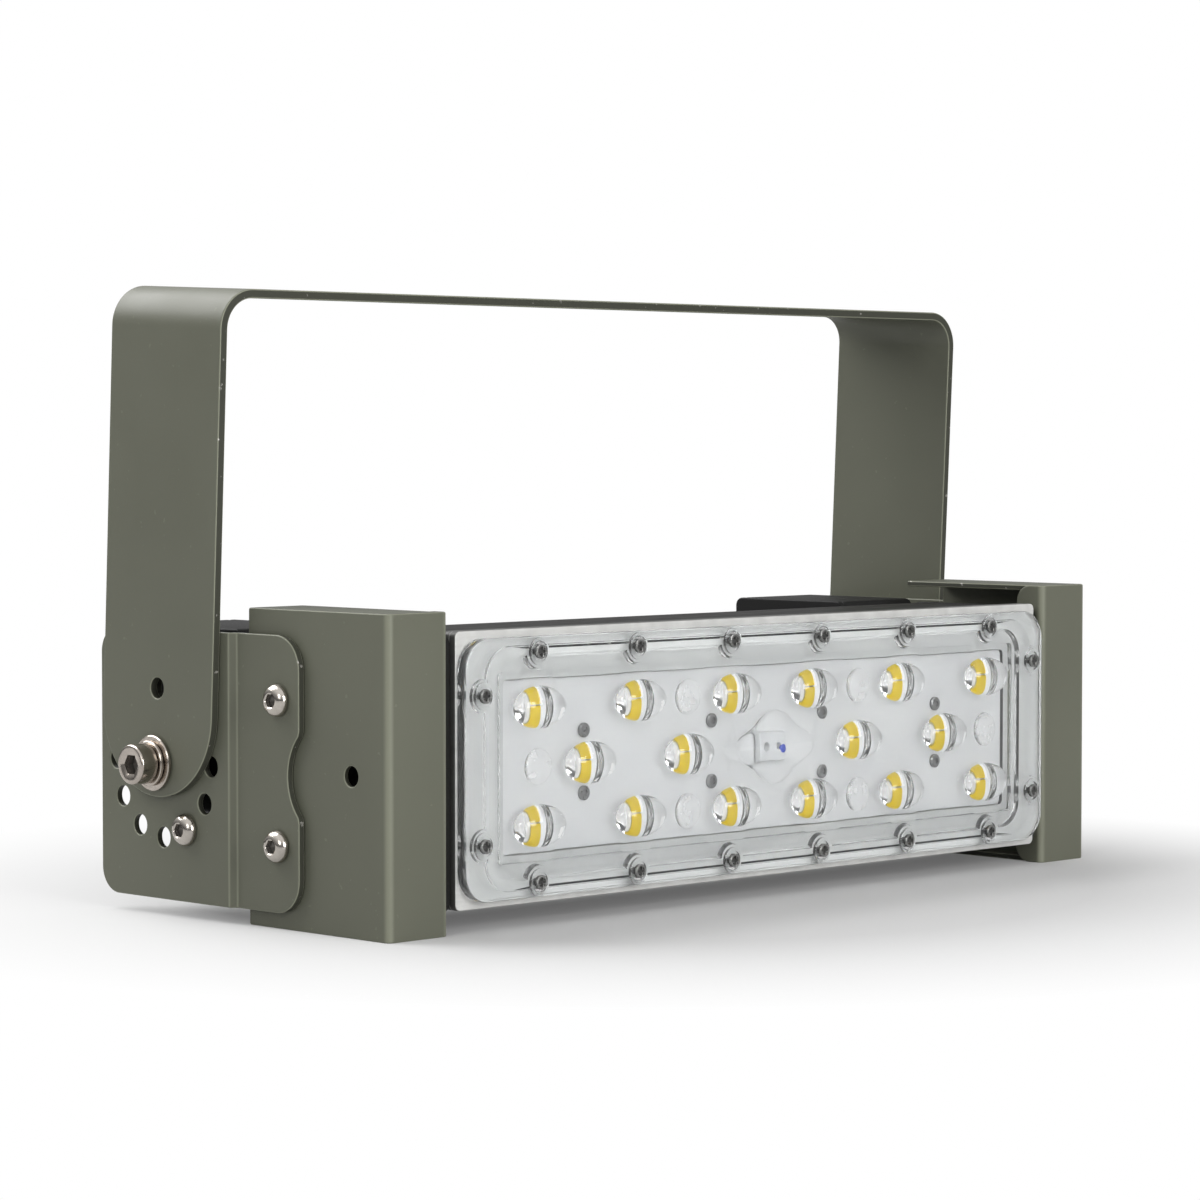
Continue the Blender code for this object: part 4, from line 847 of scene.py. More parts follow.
@dataclass
class EndSheets:
    """The folded end brackets, the jogged side plates and the heat sink's end plates."""

    wall: float = 171.0
    lip: float = 146.0
    sheet: float = 2.0
    bend: float = 2.2
    length: float = 66.6
    lip_depth: float = 12.0
    height: float = 101.0
    edge: float = 0.5
    hole: tuple[float, float, float] = (17.4, 50.3, 3.25)
    plate_in: float = 171.3
    plate_sheet: float = 2.5
    plate_jog: float = 2.0
    plate_front: float = 39.0
    plate_bend: float = 70.9
    plate_rear: float = 136.7
    plate_low: float = 5.3
    plate_high: float = 93.0
    jog_bend: float = 0.9
    notch: tuple[float, float, float] = (5.5, 18.5, 48.8)
    notch_lead: float = 1.6
    # The heat sink's end plate: its middle as setback and height, its size, sheet and outer face.
    sink_middle: tuple[float, float] = (31.0, 50.25)
    sink_size: tuple[float, float] = (56.0, 86.7)
    sink_sheet: float = 3.1
    sink_face: float = 145.7

    def bracket(self) -> Body:
        """The right bracket: wall, front and lip folded from one sheet, and a tab at either end."""
        line = [(self.wall, depth(self.length), 0.0), (self.wall, depth(0.0), self.bend),
                (self.lip, depth(0.0), self.bend), (self.lip, depth(self.lip_depth), 0.0)]
        fold = Fold(line, "XYZ", -1, 12)
        long, high = fold.length, self.height
        loops = [fillet([(0.0, 0.0, 0.7), (long, 0.0, 6.0), (long, high, 6.0), (0.0, high, 0.7)])]
        loops.append(ring((self.length - self.hole[0], self.hole[1]), self.hole[2], 40))
        loops += [ring((self.length - y, z), SCREW_BORE, 32) for y, z in PLATE_SCREWS]
        loops += [ring((long - self.lip_depth + y, z), END_BORE, 20) for y, z in END_SCREWS]
        inner, outer, front = self.lip + self.sheet + 0.3, self.wall - self.sheet + 0.2, 1.2
        size = (outer - inner, self.length - front)
        middle = ((inner + outer) / 2, depth(size[1] / 2 + front))
        tab = plate([rounded_rectangle(middle, size, 0.6, 4)], self.sheet, self.edge)
        tabs = [standing(tab, "Z", *at) for at in ((high, 1), (0.0, -1))]
        return summed([fold.apply(plate(loops, self.sheet, self.edge, fold.bends)), *tabs])

    def side_plate(self) -> Body:
        """The right side plate: a notched front, a jog and the ring of index holes."""
        outer, jog = self.plate_in + self.plate_sheet, self.plate_jog
        line = [(outer, depth(self.plate_front), 0.0),
                (outer, depth(self.plate_bend - jog), self.jog_bend),
                (outer + jog, depth(self.plate_bend), self.jog_bend),
                (outer + jog, depth(self.plate_rear), 0.0)]
        fold = Fold(line, "XYZ", 1, 8)
        long, low, high, steps = fold.length, self.plate_low, self.plate_high, 14
        outline = [(0.0, high, 11.0), (0.0, low, 11.0), (long, low, 8.5), (long, high, 8.5)]
        outline = fillet(outline, steps)
        cut, radius, rise = self.notch
        half = math.acos((radius - cut) / radius)
        chord, lead = radius * math.sin(half), self.notch_lead
        bite = arc((cut - radius, rise), radius, np.linspace(half * 0.94, -half * 0.94, 33))
        ease = np.array([[0.0, chord + lead], [0.12, chord + lead * 0.45]])
        notch = np.concatenate([ease + (0.0, rise), bite, ease[::-1] * (1.0, -1.0) + (0.0, rise)])
        loops = [np.concatenate([outline[:steps + 1], notch, outline[steps + 1:]])]
        loops += [ring((y - self.plate_front, z), SCREW_BORE, 32) for y, z in PLATE_SCREWS]
        pivot = (long - self.plate_rear + PIVOT[0], PIVOT[1])
        loops.append(ring(pivot, PIVOT_BORE, 36))
        loops += [ring(place, INDEX_BORE, 32) for place in ring(pivot, INDEX_RADIUS, 12)]
        return fold.apply(plate(loops, self.plate_sheet, self.edge, fold.bends))

    def end_plate(self) -> Body:
        """The right end plate of the heat sink, black and flat."""
        setback, height = self.sink_middle
        loops = [rounded_rectangle((depth(setback), height), self.sink_size, 3.1)]
        loops += [ring((depth(y), z), END_BORE, 20) for y, z in END_SCREWS]
        return standing(plate(loops, self.sink_sheet, 0.4), "X", self.sink_face, 1)

    def build(self) -> None:
        """Shows the sheet pieces at both ends."""
        both("bracket_skin_{}", self.bracket(), Finish.OLIVE, "end_bracket_{}")
        both("plate_skin_{}", self.side_plate(), Finish.OLIVE, "side_plate_{}")
        both("sink_end_skin_{}", self.end_plate(), Finish.SINK, "sink_end_plate_{}")


@dataclass
class Yoke:
    """The flat bar bent to a U, leaning a little forward about the pivot."""

    half_width: float = 28.0
    arm: float = 179.1
    rise: float = 153.6
    toe: float = 11.0
    sheet: float = 3.0
    bend: float = 13.0
    edge: float = 0.5
    lean: float = math.radians(2.6)
    slot_place: float = 60.0
    slot_size: tuple[float, float] = (26.0, 8.5)
    centre_bore: float = 5.25

    def body(self) -> Body:
        """The bar: round-ended, with pivot and index holes, a centre hole and two slots, folded."""
        fold = Fold([(-self.arm, -self.toe, 0.0), (-self.arm, self.rise, self.bend),
                     (self.arm, self.rise, self.bend), (self.arm, -self.toe, 0.0)], "XZY", -1, 18)
        long, half = fold.length, self.half_width
        t = np.linspace(-QUARTER, QUARTER, 49)
        loops = [np.concatenate([arc((long - half, 0.0), half, t), arc((half, 0.0), -half, t)])]
        for place, inner in ((self.toe, 1), (long - self.toe, -1)):
            loops.append(ring((place, 0.0), PIVOT_BORE, 36))
            loops.append(ring((place + inner * INDEX_RADIUS, 0.0), INDEX_BORE, 36))
            slot = (long / 2 - inner * self.slot_place, 0.0)
            loops.append(rounded_rectangle(slot, self.slot_size, 4.2, 10))
        loops.append(ring((long / 2, 0.0), self.centre_bore, 40))
        c, s = math.cos(self.lean), math.sin(self.lean)
        turn = np.array([[1.0, 0.0, 0.0], [0.0, c, s], [0.0, -s, c]])
        bar = fold.apply(plate(loops, self.sheet, self.edge, fold.bends))
        return bar.moved((0.0, depth(PIVOT[0]), PIVOT[1]), turn)

    def build(self) -> None:
        """Shows the yoke."""
        show("yoke_bar", self.body(), Finish.OLIVE, "yoke", rider="yoke")


@dataclass
class Fasteners:
    """Screws, washers and nuts of the two ends; a seat is the X that a piece starts from."""

    plate_seat: float = 174.1
    jog_seat: float = 176.1
    plate_nut: float = 168.7
    jog_nut: float = 173.0
    flat_seat: float = 179.4
    lock_seat: float = 181.1
    pivot_seat: float = 182.7

    @staticmethod
    def button() -> Body:
        """A button head: a low dome, a soft rim, and a hex socket with a cone floor."""
        head, height, rim, crown = 5.25, 3.3, 0.55, 2.55
        socket = hexagonal(4.0, 48)
        a = np.linspace(0.0, QUARTER, 12)
        rise = (height - rim) * np.sin(0.92 * a) / math.sin(0.92 * QUARTER)
        dome = zip(rim + rise, crown + (head - crown) * np.cos(a))
        # The socket's last two rows are painted dark as shade.
        return turned([(-11.0, 2.9), (0.0, 3.0), (0.0, head - 0.2), (0.2, head), *dome,
                       (height - 0.25, socket * 1.02), (height - 0.45, socket),
                       (height - 1.9, socket), (height - 2.3, 0.6)], recess=2)

    @staticmethod
    def pivot_screw() -> Body:
        """A socket-head screw: a plain turned head, a chamfered rim and a deep hex socket."""
        head, height, soft = 6.5, 6.6, 0.8
        socket = hexagonal(6.0, 72)
        rim = arc((height - soft, head - soft), soft, np.linspace(QUARTER, 0.0, 6))
        # The socket's last two rows are painted dark as shade.
        return turned([(-16.0, 3.9), (0.0, 4.0), (0.0, head - 0.45), (0.3, head - 0.1), (0.6, head),
                       *rim, (height, 4.3), (height - 0.5, socket * 1.01),
                       (height - 3.8, socket), (height - 4.8, 0.5)], 72, 2)

    @staticmethod
    def nut(across: float, height: float, bore: float) -> Body:
        """A hex nut whose corners are turned off at both faces."""
        flat, inner, lift = hexagonal(across, 48), bore / 2, height * 0.12
        cone, mouth = np.minimum(flat, across / 2 * 1.02), inner * 1.15
        return bush([(0.0, cone), (lift, flat), (height - lift, flat), (height, cone),
                     (height, mouth), (height - 0.3, inner), (0.3, inner), (0.0, mouth)])

    @staticmethod
    def washer(outer: float, bore: float, sheet: float) -> Body:
        """A washer with soft rims."""
        a, b, soft = outer / 2, bore / 2, min(0.3, sheet * 0.3)
        return bush([(0.0, a - soft), (soft, a), (sheet - soft, a), (sheet, a - soft),
                     (sheet, b + soft), (sheet - soft, b), (soft, b), (0.0, b + soft)], 64)

    def build(self) -> None:
        """Shows every fastener of the plates and pivots, out of the lamp or, with -1, into it."""
        steel, shiny = Finish.STEEL, Finish.STEEL_TURNED
        button, pivot = self.button(), self.pivot_screw()
        m6 = self.nut(across=10.0, height=4.8, bore=6.6)
        m8 = self.nut(across=13.0, height=6.4, bore=8.6)
        flat = self.washer(outer=18.0, bore=8.6, sheet=1.4)
        lock = self.washer(outer=14.6, bore=8.6, sheet=1.3)
        # The lock screw is parked in the index hole 30 degrees forward of straight down.
        parked = arc(PIVOT, INDEX_RADIUS, np.array([2 * TAU / 3]))[0]
        rows = [
            ("parked_screw_{}", "lock_screw_{}", button, self.jog_seat, 1, parked, steel),
            ("parked_nut_{}", "lock_nut_{}", m6, self.jog_nut, -1, parked, steel),
            ("pivot_bolt_{}", "pivot_screw_{}", pivot, self.pivot_seat, 1, PIVOT, shiny),
            ("flat_washer_{}", "pivot_washer_{}", flat, self.flat_seat, 1, PIVOT, shiny),
            ("lock_washer_{}", "pivot_spring_washer_{}", lock, self.lock_seat, 1, PIVOT, shiny),
            ("pivot_nut_skin_{}", "pivot_nut_{}", m8, self.jog_nut, -1, PIVOT, steel)]
        for row, place in zip(("_lower", "_upper"), PLATE_SCREWS):
            names = [name + "{}" + row for name in ("button_screw_", "side_plate_screw_")]
            rows.append((*names, button, self.plate_seat, 1, place, steel))
            names = [name + "{}" + row for name in ("button_nut_", "side_plate_nut_")]
            rows.append((*names, m6, self.plate_nut, -1, place, steel))
        for name, node, body, seat, way, (setback, height), finish in rows:
            both(name, pointed(body, (seat, depth(setback), height), (way, 0, 0)), finish, node)
        dress([f"bracket_screw_{a}_{b}" for a, _ in SIDES for b in ("lower", "upper")], steel)


def rectangle(long: float, high: float, corner: float, steps: int = 8) -> Array:
    """A rectangle with round corners, about the middle of the lamp's face."""
    return rounded_rectangle((0.0, 0.0), (long, high), corner, steps)


def facing(loops: Sequence[Array], thickness: float, edge: float, face: float,
           rows: int = 3) -> Body:
    """A sheet across Y, facing the light's way, from loops about the middle of the lamp's face."""
    sheet = standing(plate(loops, thickness, edge, rows=rows), "Y", face, -1)
    return sheet.moved((0.0, 0.0, MIDDLE))


@dataclass
class HeatSink:
    """The finned heat sink and the module plate in front of it."""

    end: float = 142.3
    front: float = 7.3
    base: float = 6.0
    deep: float = 48.0
    height: float = 84.7
    count: int = 13
    fin: float = 2.0
    plate_height: float = 87.3
    pocket: tuple[float, float] = (250.0, 58.6)
    margin: tuple[float, float] = (282.6, 81.2)
    window: tuple[float, float] = (247.3, 55.9)

    def fins(self) -> Body:
        """The comb, drawn along X: fin k stands at low + pitch * k, with soft tips and roots."""
        low = MIDDLE - self.height / 2
        pitch = (self.height - self.fin) / (self.count - 1)
        front, root, tip = (depth(self.front + y) for y in (0.0, self.base, self.deep))
        comb = []
        for bottom in low + pitch * np.arange(self.count):
            top = bottom + self.fin
            comb += [(root, bottom, 1.0), (tip, bottom, 0.7), (tip, top, 0.7), (root, top, 1.0)]
        outline = fillet([(front, low + self.height, 0.4), (front, low, 0.4), *comb[1:-1]], 5)
        return standing(plate([outline], 2 * self.end, 0.15, rows=1), "X", self.end, 1)

    def build(self) -> None:
        """Shows the heat sink, the module plate and its bright margin, and dresses the gasket."""
        show("sink_fins", self.fins(), Finish.SINK, "heat_sink")
        outline = rectangle(2 * self.end, self.plate_height, 2.0)
        rim = facing([outline, rectangle(*self.pocket, 1.5)], 2.9, 0.3, depth(1.0))
        floor = facing([outline], 3.2, 0.3, depth(3.8))
        show("module_frame", summed([rim, floor]), Finish.ALUMINIUM, "module_plate")
        margin = [rectangle(*self.margin, 9.5), rectangle(*self.window, 1.5)]
        show("module_backing", facing(margin, 0.16, 0.04, depth(0.82), 1), Finish.BACKING)
        dress(["lens_gasket"], Finish.GASKET)


def spread(xs: Numbers, z: float = 0.0) -> list[tuple[float, float]]:
    """Places on the lamp's face at either side of its middle, and above and below it."""
    return [(s * x, t * z) for s in (-1, 1) for t in ((-1, 1) if z else (0,)) for x in xs]


@dataclass
class LampFace:
    """The board with its emitters, and the clear cover with a lens over every pair."""

    # The middles of the emitter pairs, of the discs between the lenses and of the board's screws.
    LEDS = spread((19.1, 64.6, 110.0), 18.8) + spread((42.0, 87.5))
    BLANKS = spread((42.1,), 18.8) + spread((110.2,))
    BOARD_SCREWS = spread((27.3, 86.7), 10.1)
    back: float = depth(0.7)
    front: float = depth(-3.4)
    rim: float = depth(-4.1)
    field_face: float = depth(-2.7)
    floor: float = depth(-0.7)
    board_front: float = depth(2.0)
    half: tuple[float, float] = (142.0, 41.3)
    corner: float = 10.0
    pitch: float = 44.45
    row: float = 36.5
    end: tuple[float, float] = (135.0, 23.45)
    boss: float = 4.4
    disc: float = 6.0
    hub_half: tuple[float, float] = (20.0, 12.5)
    hollow: tuple[float, float] = (253.2, 60.6)
    board: tuple[float, float] = (247.0, 55.6)
    terminal: tuple[float, float] = (12.0, 9.0)
    terminal_holes: tuple[float, float] = (-2.8, 2.8)
    dome_half: tuple[float, float] = (11.0, 6.8)
    dome_rise: float = 5.6
    pocket_half: tuple[float, float] = (4.6, 6.4)
    pocket_rise: float = 3.9
    led_half: float = 2.5
    led_split: float = 2.62

    @property
    def row_screws(self) -> Array:
        """The places in X of the six screws of a row."""
        return (np.arange(6) - 2.5) * self.pitch

    @property
    def screws(self) -> dict[str, tuple[float, float]]:
        """The cover's screws by name."""
        places = {}
        for label, turn in (("upper", 1), ("lower", -1)):
            for k, x in enumerate(self.row_screws):
                places[f"{label}_{k + 1}"] = (x, turn * self.row)
            for end, side in SIDES:
                places[f"{end}_{label}"] = (side * self.end[0], turn * self.end[1])
        return places

    def scalloped(self, inset: Numbers, corner: float, bite: float, bulge: float) -> Array:
        """The cover's outline set in, where it goes round the screws' bosses.

        A side that meets a boss follows the boss's circle, with cos(limit) = distance / radius:
        inside the long sides' bosses, and outside the short sides' ones.

        Args:
            inset: How far the long and the short way are set in.
            corner: The corners' radius.
            bite: The radius round the row screws, or zero.
            bulge: The radius round the end screws, or zero.

        Returns:
            An (n, 2) array, anticlockwise.
        """
        half = np.array(self.half) - inset
        long_side = (self.row_screws, self.row, bite, -1.0)
        short_side = (np.array([-1.0, 1.0]) * self.end[1], self.end[0], bulge, 1.0)
        quarter = np.linspace(0.0, QUARTER, 11)[:, None]
        runs = []
        for k, (at, line, radius, sign) in enumerate((long_side, short_side) * 2):
            run = np.array([(1, 0), (0, 1), (-1, 0), (0, -1)][k], float)
            out = np.array([run[1], -run[0]])
            edge, other = half[1 - k % 2], half[k % 2]
            if radius:
                limit = math.acos(float(np.clip(sign * (edge - line) / radius, -1.0, 1.0)))
                t = np.linspace(-limit, limit, 15)
                along = (at[:, None] + radius * np.sin(t)).reshape(-1, 1)
                above = np.tile(line + sign * radius * np.cos(t), len(at))[:, None]
                runs.append(along * run + above * out)
            centre = run * (other - corner) + out * (edge - corner)
            runs.append(centre + corner * (np.cos(quarter) * out + np.sin(quarter) * run))
        return np.concatenate(runs)

    def cover(self) -> Body:
        """The cover: stepped flange, bosses, a lens over every pair, discs, hub and hollow."""
        p = Patchwork()
        face, soft = self.field_face, 0.8
        side = [(0.3, self.back), (0.0, self.back - 0.3)]
        side += [(soft * (1 - math.cos(a)), self.front + soft * (1 - math.sin(a)))
                 for a in np.linspace(0.0, QUARTER, 5)]
        side = [p.loop(rectangle(*(2 * (h - inset) for h in self.half), self.corner, 10), height)
                for inset, height in side]
        p.strip(*side)
        rows = (  # inset along and across, corner, bite, bulge, height
            (7.6, 2.6, 11.0, 0.0, 5.4, self.front), (8.0, 2.85, 11.0, 0.0, 5.1, self.rim + 0.15),
            (8.3, 3.1, 11.0, 0.0, 4.9, self.rim), (14.2, 5.8, 9.0, 5.3, 0.0, self.rim),
            (15.0, 6.6, 8.4, 5.9, 0.0, face - 0.2), (15.4, 7.0, 8.0, 6.1, 0.0, face))
        steps = [p.loop(self.scalloped(row[:2], *row[2:5]), row[5]) for row in rows]
        p.flat(side[-1], steps[0])
        p.strip(*steps[:3])
        p.strip(*steps[3:])
        shares, rises = (0.96, 0.88, 0.78, 0.7, 0.6, 0.0), (0.3, 0.5, 0.45, 0.05, -0.1, -0.1)
        boss = ring((0.0, 0.0), self.boss, 28)
        bosses = [p.crown(place, boss, self.rim, shares, rises) for place in self.screws.values()]
        p.flat(steps[2], steps[3], *bosses)
        t = np.linspace(0.12, QUARTER, 13)
        dome = ring((0.0, 0.0), self.dome_half, 44)
        rises = self.dome_rise * np.sin(t) ** 0.9
        fillings = [p.crown(place, dome, face, np.cos(t), rises) for place in self.LEDS]
        disc = ring((0.0, 0.0), self.disc, 36)
        shares, rises = (0.95, 0.88, 0.8, 0.6, 0.0), (0.3, 0.6, 0.75, 0.8, 0.8)
        fillings += [p.crown(place, disc, face, shares, rises, 1.0) for place in self.BLANKS]
        t = angles(64)
        star = ring((0.0, 0.0), self.hub_half, 64) * (1.0 - 0.22 * np.sin(2 * t) ** 2)[:, None]
        shares = (0.95, 0.85, 0.7, 0.5, 0.3, 0.18, 0.1, 0.0)
        hub = p.crown((0.0, 0.0), star, face, shares, (0.5, 0.9, 1.3, 1.75, 2.15, 2.4, 2.4, 2.4))
        p.flat(steps[-1], *fillings, hub)
        mouth, bottom = (p.loop(rectangle(*self.hollow, 1.5, 6), y)
                         for y in (self.back, self.floor))
        p.flat(side[0], mouth)
        p.strip(mouth, bottom)
        t = np.linspace(0.15, QUARTER, 9)
        pocket = ring((0.0, 0.0), self.pocket_half, 32)
        p.flat(bottom, *[p.crown(place, pocket, self.floor, np.cos(t), self.pocket_rise * np.sin(t))
                         for place in self.LEDS])
        return p.body()

    def emitters(self, half: float, rise: float, seat: float) -> Body:
        """Square emitters, two above each other in every lens.

        Args:
            half: Half an emitter's side.
            rise: How far it stands out.
            seat: The Y of its back.

        Returns:
            All the emitters in one body.
        """
        square = rectangle(2 * half, 2 * half, half * 0.16, 3)
        one = facing([square], rise, min(0.12, rise / 3), seat - rise, 2)
        return summed(one.moved((x, 0.0, z + t * self.led_split))
                      for x, z in self.LEDS for t in (-1, 1))

    @staticmethod
    def cover_screw() -> Body:
        """A small pan head with a cross recess: a ring plate round the cross over a solid disc
        painted dark as shade.
        """
        radius, arm, slot = 2.3, 1.55, 0.46
        shank_radius, reach, rise = 1.3, 11.6, 1.2
        corner = np.array([arm - 1j * slot, arm + 1j * slot, slot + 1j * slot])
        cross = fillet([(c.real, c.imag, 0.1) for k in range(4) for c in corner * 1j**k], 2)
        head = plate([ring((0.0, 0.0), radius, 32), cross], 0.8, 0.18)
        disc = plate([ring((0.0, 0.0), radius - 0.02, 32)], 0.5, 0.1, rows=1)
        # The disc under the cross is painted dark as the shade inside the cross recess.
        disc = replace(disc.moved((0.0, 0.0, -0.75)), wear=np.ones(len(disc.points)))
        shank = plate([ring((0.0, 0.0), shank_radius, 20)], reach, 0.1, rows=1)
        parts = [replace(head, wear=None), disc, shank.moved((0.0, 0.0, -rise))]
        return summed(parts).moved((0.0, 0.0, rise))

    def board_parts(self) -> None:
        """Shows the board's emitters, terminal, button and dark, low screws with a hex recess."""
        front = self.board_front
        show("emitter_bases", self.emitters(self.led_half, 0.7, front), Finish.CERAMIC)
        phosphors = self.emitters(self.led_half - 0.03, 0.35, front - 0.65)
        show("emitter_phosphors", phosphors, Finish.PHOSPHOR)
        terminal = [rectangle(*self.terminal, 0.9)]
        terminal += [ring((x, 0.0), 1.1, 24) for x in self.terminal_holes]
        show("board_terminal", facing(terminal, 1.8, 0.35, front - 2.1), Finish.WHITE_PLASTIC)
        button = turned([(0.0, 1.3), (0.5, 1.3), (0.7, 1.0)], 24)
        button = pointed(button, (4.6, front - 1.6, MIDDLE - 0.8), FRONT)
        show("terminal_button", button, Finish.BLUE_PLASTIC)
        socket = hexagonal(2.0, 24)
        head = turned([(-1.0, 1.4), (0.0, 1.45), (0.0, 2.4), (0.7, 2.4), (1.1, 1.9), (1.15, socket),
                       (0.5, socket), (0.45, 0.3)], 24)
        heads = (pointed(head, (x, front - 0.1, MIDDLE + z), FRONT) for x, z in self.BOARD_SCREWS)
        show("board_screw_heads", summed(heads), Finish.DARK_STEEL)

    def build(self) -> None:
        """Shows the board and what is on it, the cover and its screws."""
        holes = [ring(place, 1.5, 24) for place in self.BOARD_SCREWS]
        board = facing([rectangle(*self.board, 1.5), *holes], 1.6, 0.15, self.board_front, 1)
        show("board_skin", board, Finish.BOARD, "led_board")
        self.board_parts()
        show("cover_lens", self.cover(), Finish.CLEAR, "lens_cover", seams=32.0, sewn=True)
        for name, (x, z) in self.screws.items():
            body = pointed(self.cover_screw(), (x, self.rim - 0.3, MIDDLE + z), FRONT)
            show("cover_screw_" + name, body, Finish.SCREW_STEEL, "lens_cover_screw_" + name)


@dataclass
class DriverBoxes:
    """The black boxes behind the side plates, with their lids and the cable gland."""

    outer: float = 165.2
    long: float = 38.0
    y: tuple[float, float] = (78.0, 132.5)
    z: tuple[float, float] = (33.4, 93.5)
    gap: float = 0.3
    lid_sheet: float = 2.4
    foot_inset: float = 8.0
    # Heights of the gland: its top, the hexagon's two faces, and the cap's two.
    gland: tuple[float, ...] = (35.8, 33.1, 28.5, 27.5, 18.5)

    @property
    def outline(self) -> Array:
        """The box seen along the lamp."""
        (y0, y1), (z0, z1) = self.y, self.z
        return rounded_rectangle((depth((y0 + y1) / 2), (z0 + z1) / 2), (y1 - y0, z1 - z0), 3.0)

    def box(self) -> Body:
        """The right box: a rounded block, with two feet that reach the side plate."""
        block = standing(plate([self.outline], self.long, 1.2, rows=5), "X", self.outer, 1)
        inset, radius, reach = self.foot_inset, 3.6, 7.5
        foot = turned([(-1.0, radius), (reach - 0.4, radius), (reach, radius - 0.4)], 36)
        ends, high = (self.y[0] + inset, self.y[1] - inset), self.z[1] - inset
        feet = [pointed(foot, (self.outer, depth(y), high), OUT) for y in ends]
        return summed([block, *feet])

    def lid(self) -> Body:
        """The right lid, with a shallow seam round it."""
        face = self.outer - self.long - self.gap - self.lid_sheet
        return standing(plate([self.outline], self.lid_sheet, 0.6), "X", face, -1)

    def gland_body(self) -> Body:
        """The gland from its thread down: hex body, neck, ribbed dome cap and open mouth."""
        top, shoulder, hexagon, high, low = self.gland
        flat = hexagonal(17.0, 72)
        worn = np.minimum(flat, 8.9)
        cap = 7.7 - 0.25 * (np.cos(24 * angles(72)) > 0.3)
        body = bush([
            (top, 5.6), (top - 0.4, 6.0), (shoulder, 6.0), (shoulder, worn), (shoulder - 0.5, flat),
            (hexagon + 0.5, flat), (hexagon, worn), (hexagon, 7.0), (high, 7.0), (high, cap - 0.2),
            (high - 0.4, cap), (low + 2.6, cap), (low + 1.2, 7.0), (low + 0.3, 6.0), (low, 5.4),
            (low, 3.9), (low + 0.4, 3.5), (low + 1.5, 3.5), (low + 1.5, 4.9), (top, 4.9)], 72)
        return body.moved((self.long / 2 - self.outer, depth((self.y[0] + self.y[1]) / 2), 0.0))

    def build(self) -> None:
        """Shows boxes, lids and gland, and dresses what is inside them."""
        both("box_shell_{}", self.box(), Finish.BLACK_PLASTIC, "driver_box_{}")
        both("box_lid_{}", self.lid(), Finish.BLACK_PLASTIC, "driver_box_lid_{}")
        show("gland_skin", self.gland_body(), Finish.BLACK_PLASTIC, "cable_gland")
        dress(["driver_board_left", "driver_board_right"], Finish.GREEN_BOARD)
        dress(["gland_seal"], Finish.SEAL)


# Studio


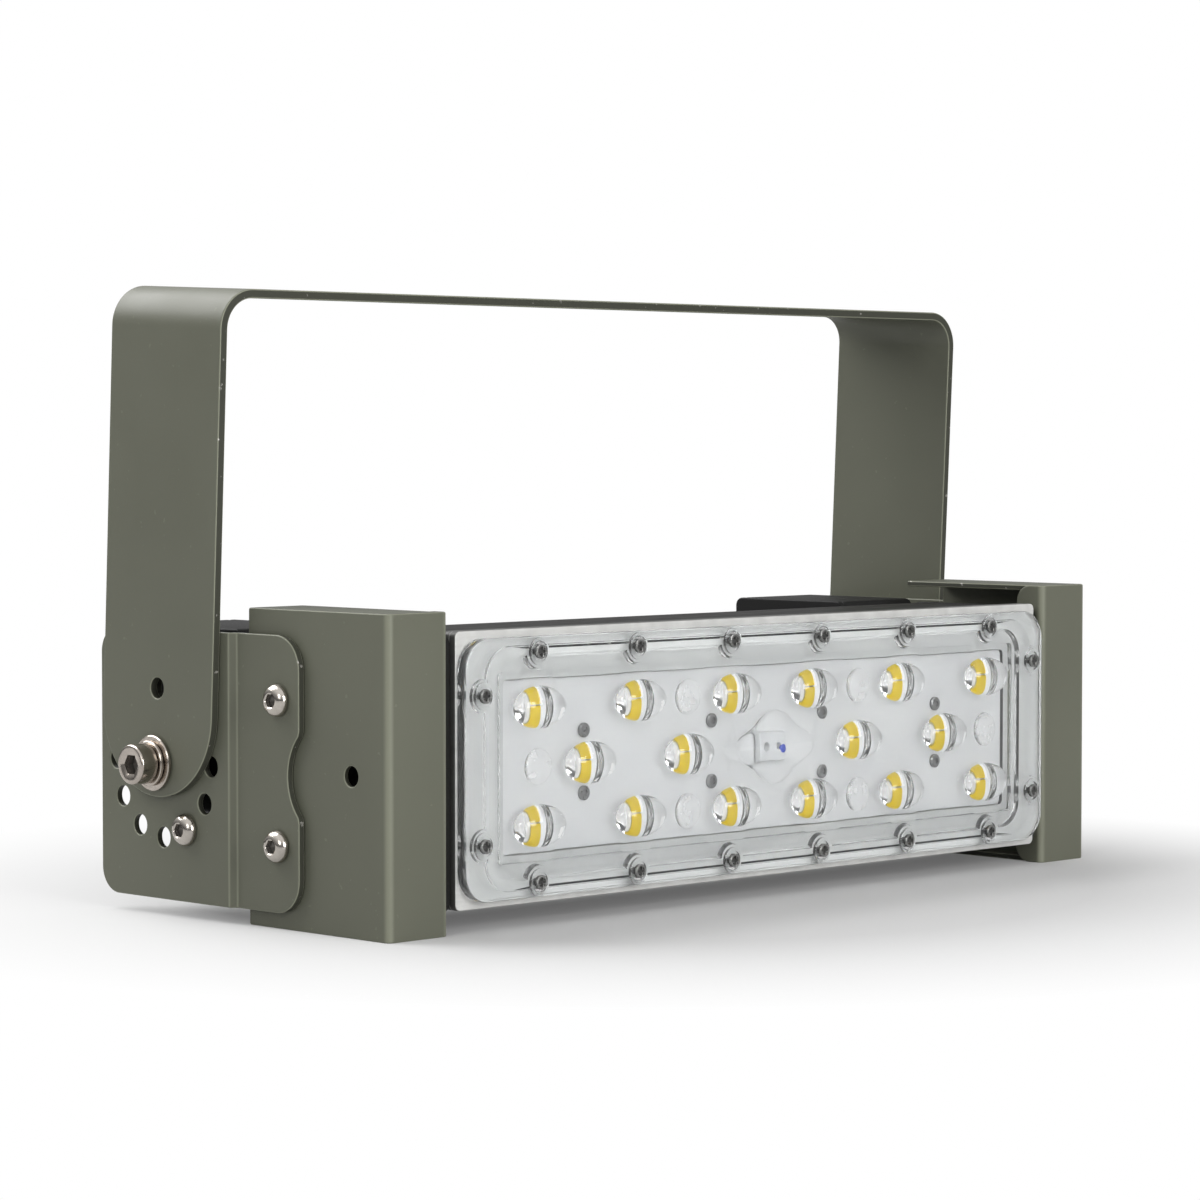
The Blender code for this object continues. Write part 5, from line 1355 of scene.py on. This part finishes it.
@dataclass
class Studio:
    """A pale floor, soft lamps, a white surround and the camera, in metres."""

    camera_place: tuple[float, float, float] = (-0.9481, -0.9399, 0.1553)
    heading: float = math.radians(44.75)
    dip: float = math.radians(2.445)
    lens: float = 115.2
    sensor: float = 36.0
    target: tuple[float, float, float] = (0.0, 0.0, 0.08)
    floor_half: float = 4.0
    floor_grey: float = 0.55
    near_floor: float = 0.16
    far_floor: float = 0.3
    shadow_light: float = 0.1
    world_light: float = 0.42
    horizon_light: float = 0.1
    sky_light: float = 1.0

    def camera(self) -> None:
        """The camera at the photograph's angle: it looks from +Y towards +X, and dips a little."""
        data = bpy.data.cameras.new("camera")
        data.lens, data.sensor_width, data.sensor_fit = self.lens, self.sensor, "HORIZONTAL"
        data.clip_start, data.clip_end = 0.05, 50.0
        bpy.context.scene.camera = placed("camera", data, location=self.camera_place,
                                          rotation_euler=(QUARTER - self.dip, 0.0, -self.heading))

    def floor(self) -> None:
        """The floor: white paper near the lamp, and plain white far off for the camera."""
        mesh = bpy.data.meshes.new("floor")
        square = [(-1, -1), (1, -1), (1, 1), (-1, 1)]
        mesh.from_pydata([(x * self.floor_half, y * self.floor_half, 0.0) for x, y in square], [],
                         [(0, 1, 2, 3)])
        paper = bpy.data.materials.new("floor_paper")
        s = Shader(paper)
        seen = s.add("LightPath").outputs["Is Camera Ray"]
        glow = s.maths("MULTIPLY", seen, self.shadow_light)
        s.set(Base__Color=(self.floor_grey,) * 3, Roughness=0.9, Specular__IOR__Level=0.1,
              Emission__Color=WHITE, Emission__Strength=glow)
        away = s.add("VectorMath", s.place, operation_="LENGTH").outputs["Value"]
        far = s.maths("MULTIPLY", s.band(away, self.near_floor, self.far_floor), seen)
        white = s.add("Emission", Color=WHITE, Strength=1.0).outputs[0]
        mixed = s.add("MixShader", far, s.main.outputs[0], white).outputs[0]
        s.feed(s.tree.nodes["Material Output"].inputs["Surface"], mixed)
        mesh.materials.append(paper)
        placed("floor", mesh)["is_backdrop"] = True

    def lamp(self, name: str, place: Numbers, size: float, power: float) -> None:
        """One soft square lamp, aimed at the target."""
        data = bpy.data.lights.new(name, "AREA")
        data.shape, data.size, data.energy = "SQUARE", size, power
        away = unit(np.subtract(place, self.target))
        turn = (math.acos(away[2]), 0.0, math.atan2(away[0], -away[1]))
        placed(name, data, location=place, rotation_euler=turn)

    def world(self) -> None:
        """A white surround for the camera, and a softer one as light."""
        world = bpy.context.scene.world = bpy.data.worlds.new("surround")
        s = Shader(world, "Background")
        path = s.add("LightPath").outputs
        rise = s.add("SeparateXYZ", s.add("TexCoord").outputs["Generated"]).outputs["Z"]
        sky = s.band(rise, 0.02, 0.7, self.horizon_light, self.sky_light)
        light = s.mix(path["Is Glossy Ray"], self.world_light, sky, False)
        light = s.mix(path["Is Transmission Ray"], light, sky, False)
        s.set(Color=WHITE, Strength=s.mix(path["Is Camera Ray"], light, 1.0, False))

    def build(self) -> None:
        """Sets the whole studio."""
        self.camera()
        self.floor()
        self.world()
        self.lamp("key", (-0.2, -1.8, 0.55), 0.9, 22.0)
        self.lamp("side", (-1.8, -0.7, 0.8), 0.7, 6.0)
        self.lamp("back", (-0.4, 0.9, 1.2), 1.3, 27.0)
        bpy.context.scene.view_settings.view_transform = "Standard"


def corners(box: tuple) -> list[list[float]]:
    """Two corners as plain lists."""
    return [list(map(float, corner)) for corner in box]


def main() -> None:
    """Builds the lamp part by part, then the studio."""
    logging.basicConfig(level=logging.INFO, format="%(name)s: %(message)s")
    cad_box = corners(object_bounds())
    for part in (EndSheets(), Yoke(), Fasteners(), HeatSink(), LampFace(), DriverBoxes()):
        LOG.info("building %s", type(part).__name__)
        part.build()
    Studio().build()
    {"cad": cad_box, "visual": corners(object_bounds())}


if __name__ == "__main__":
    main()
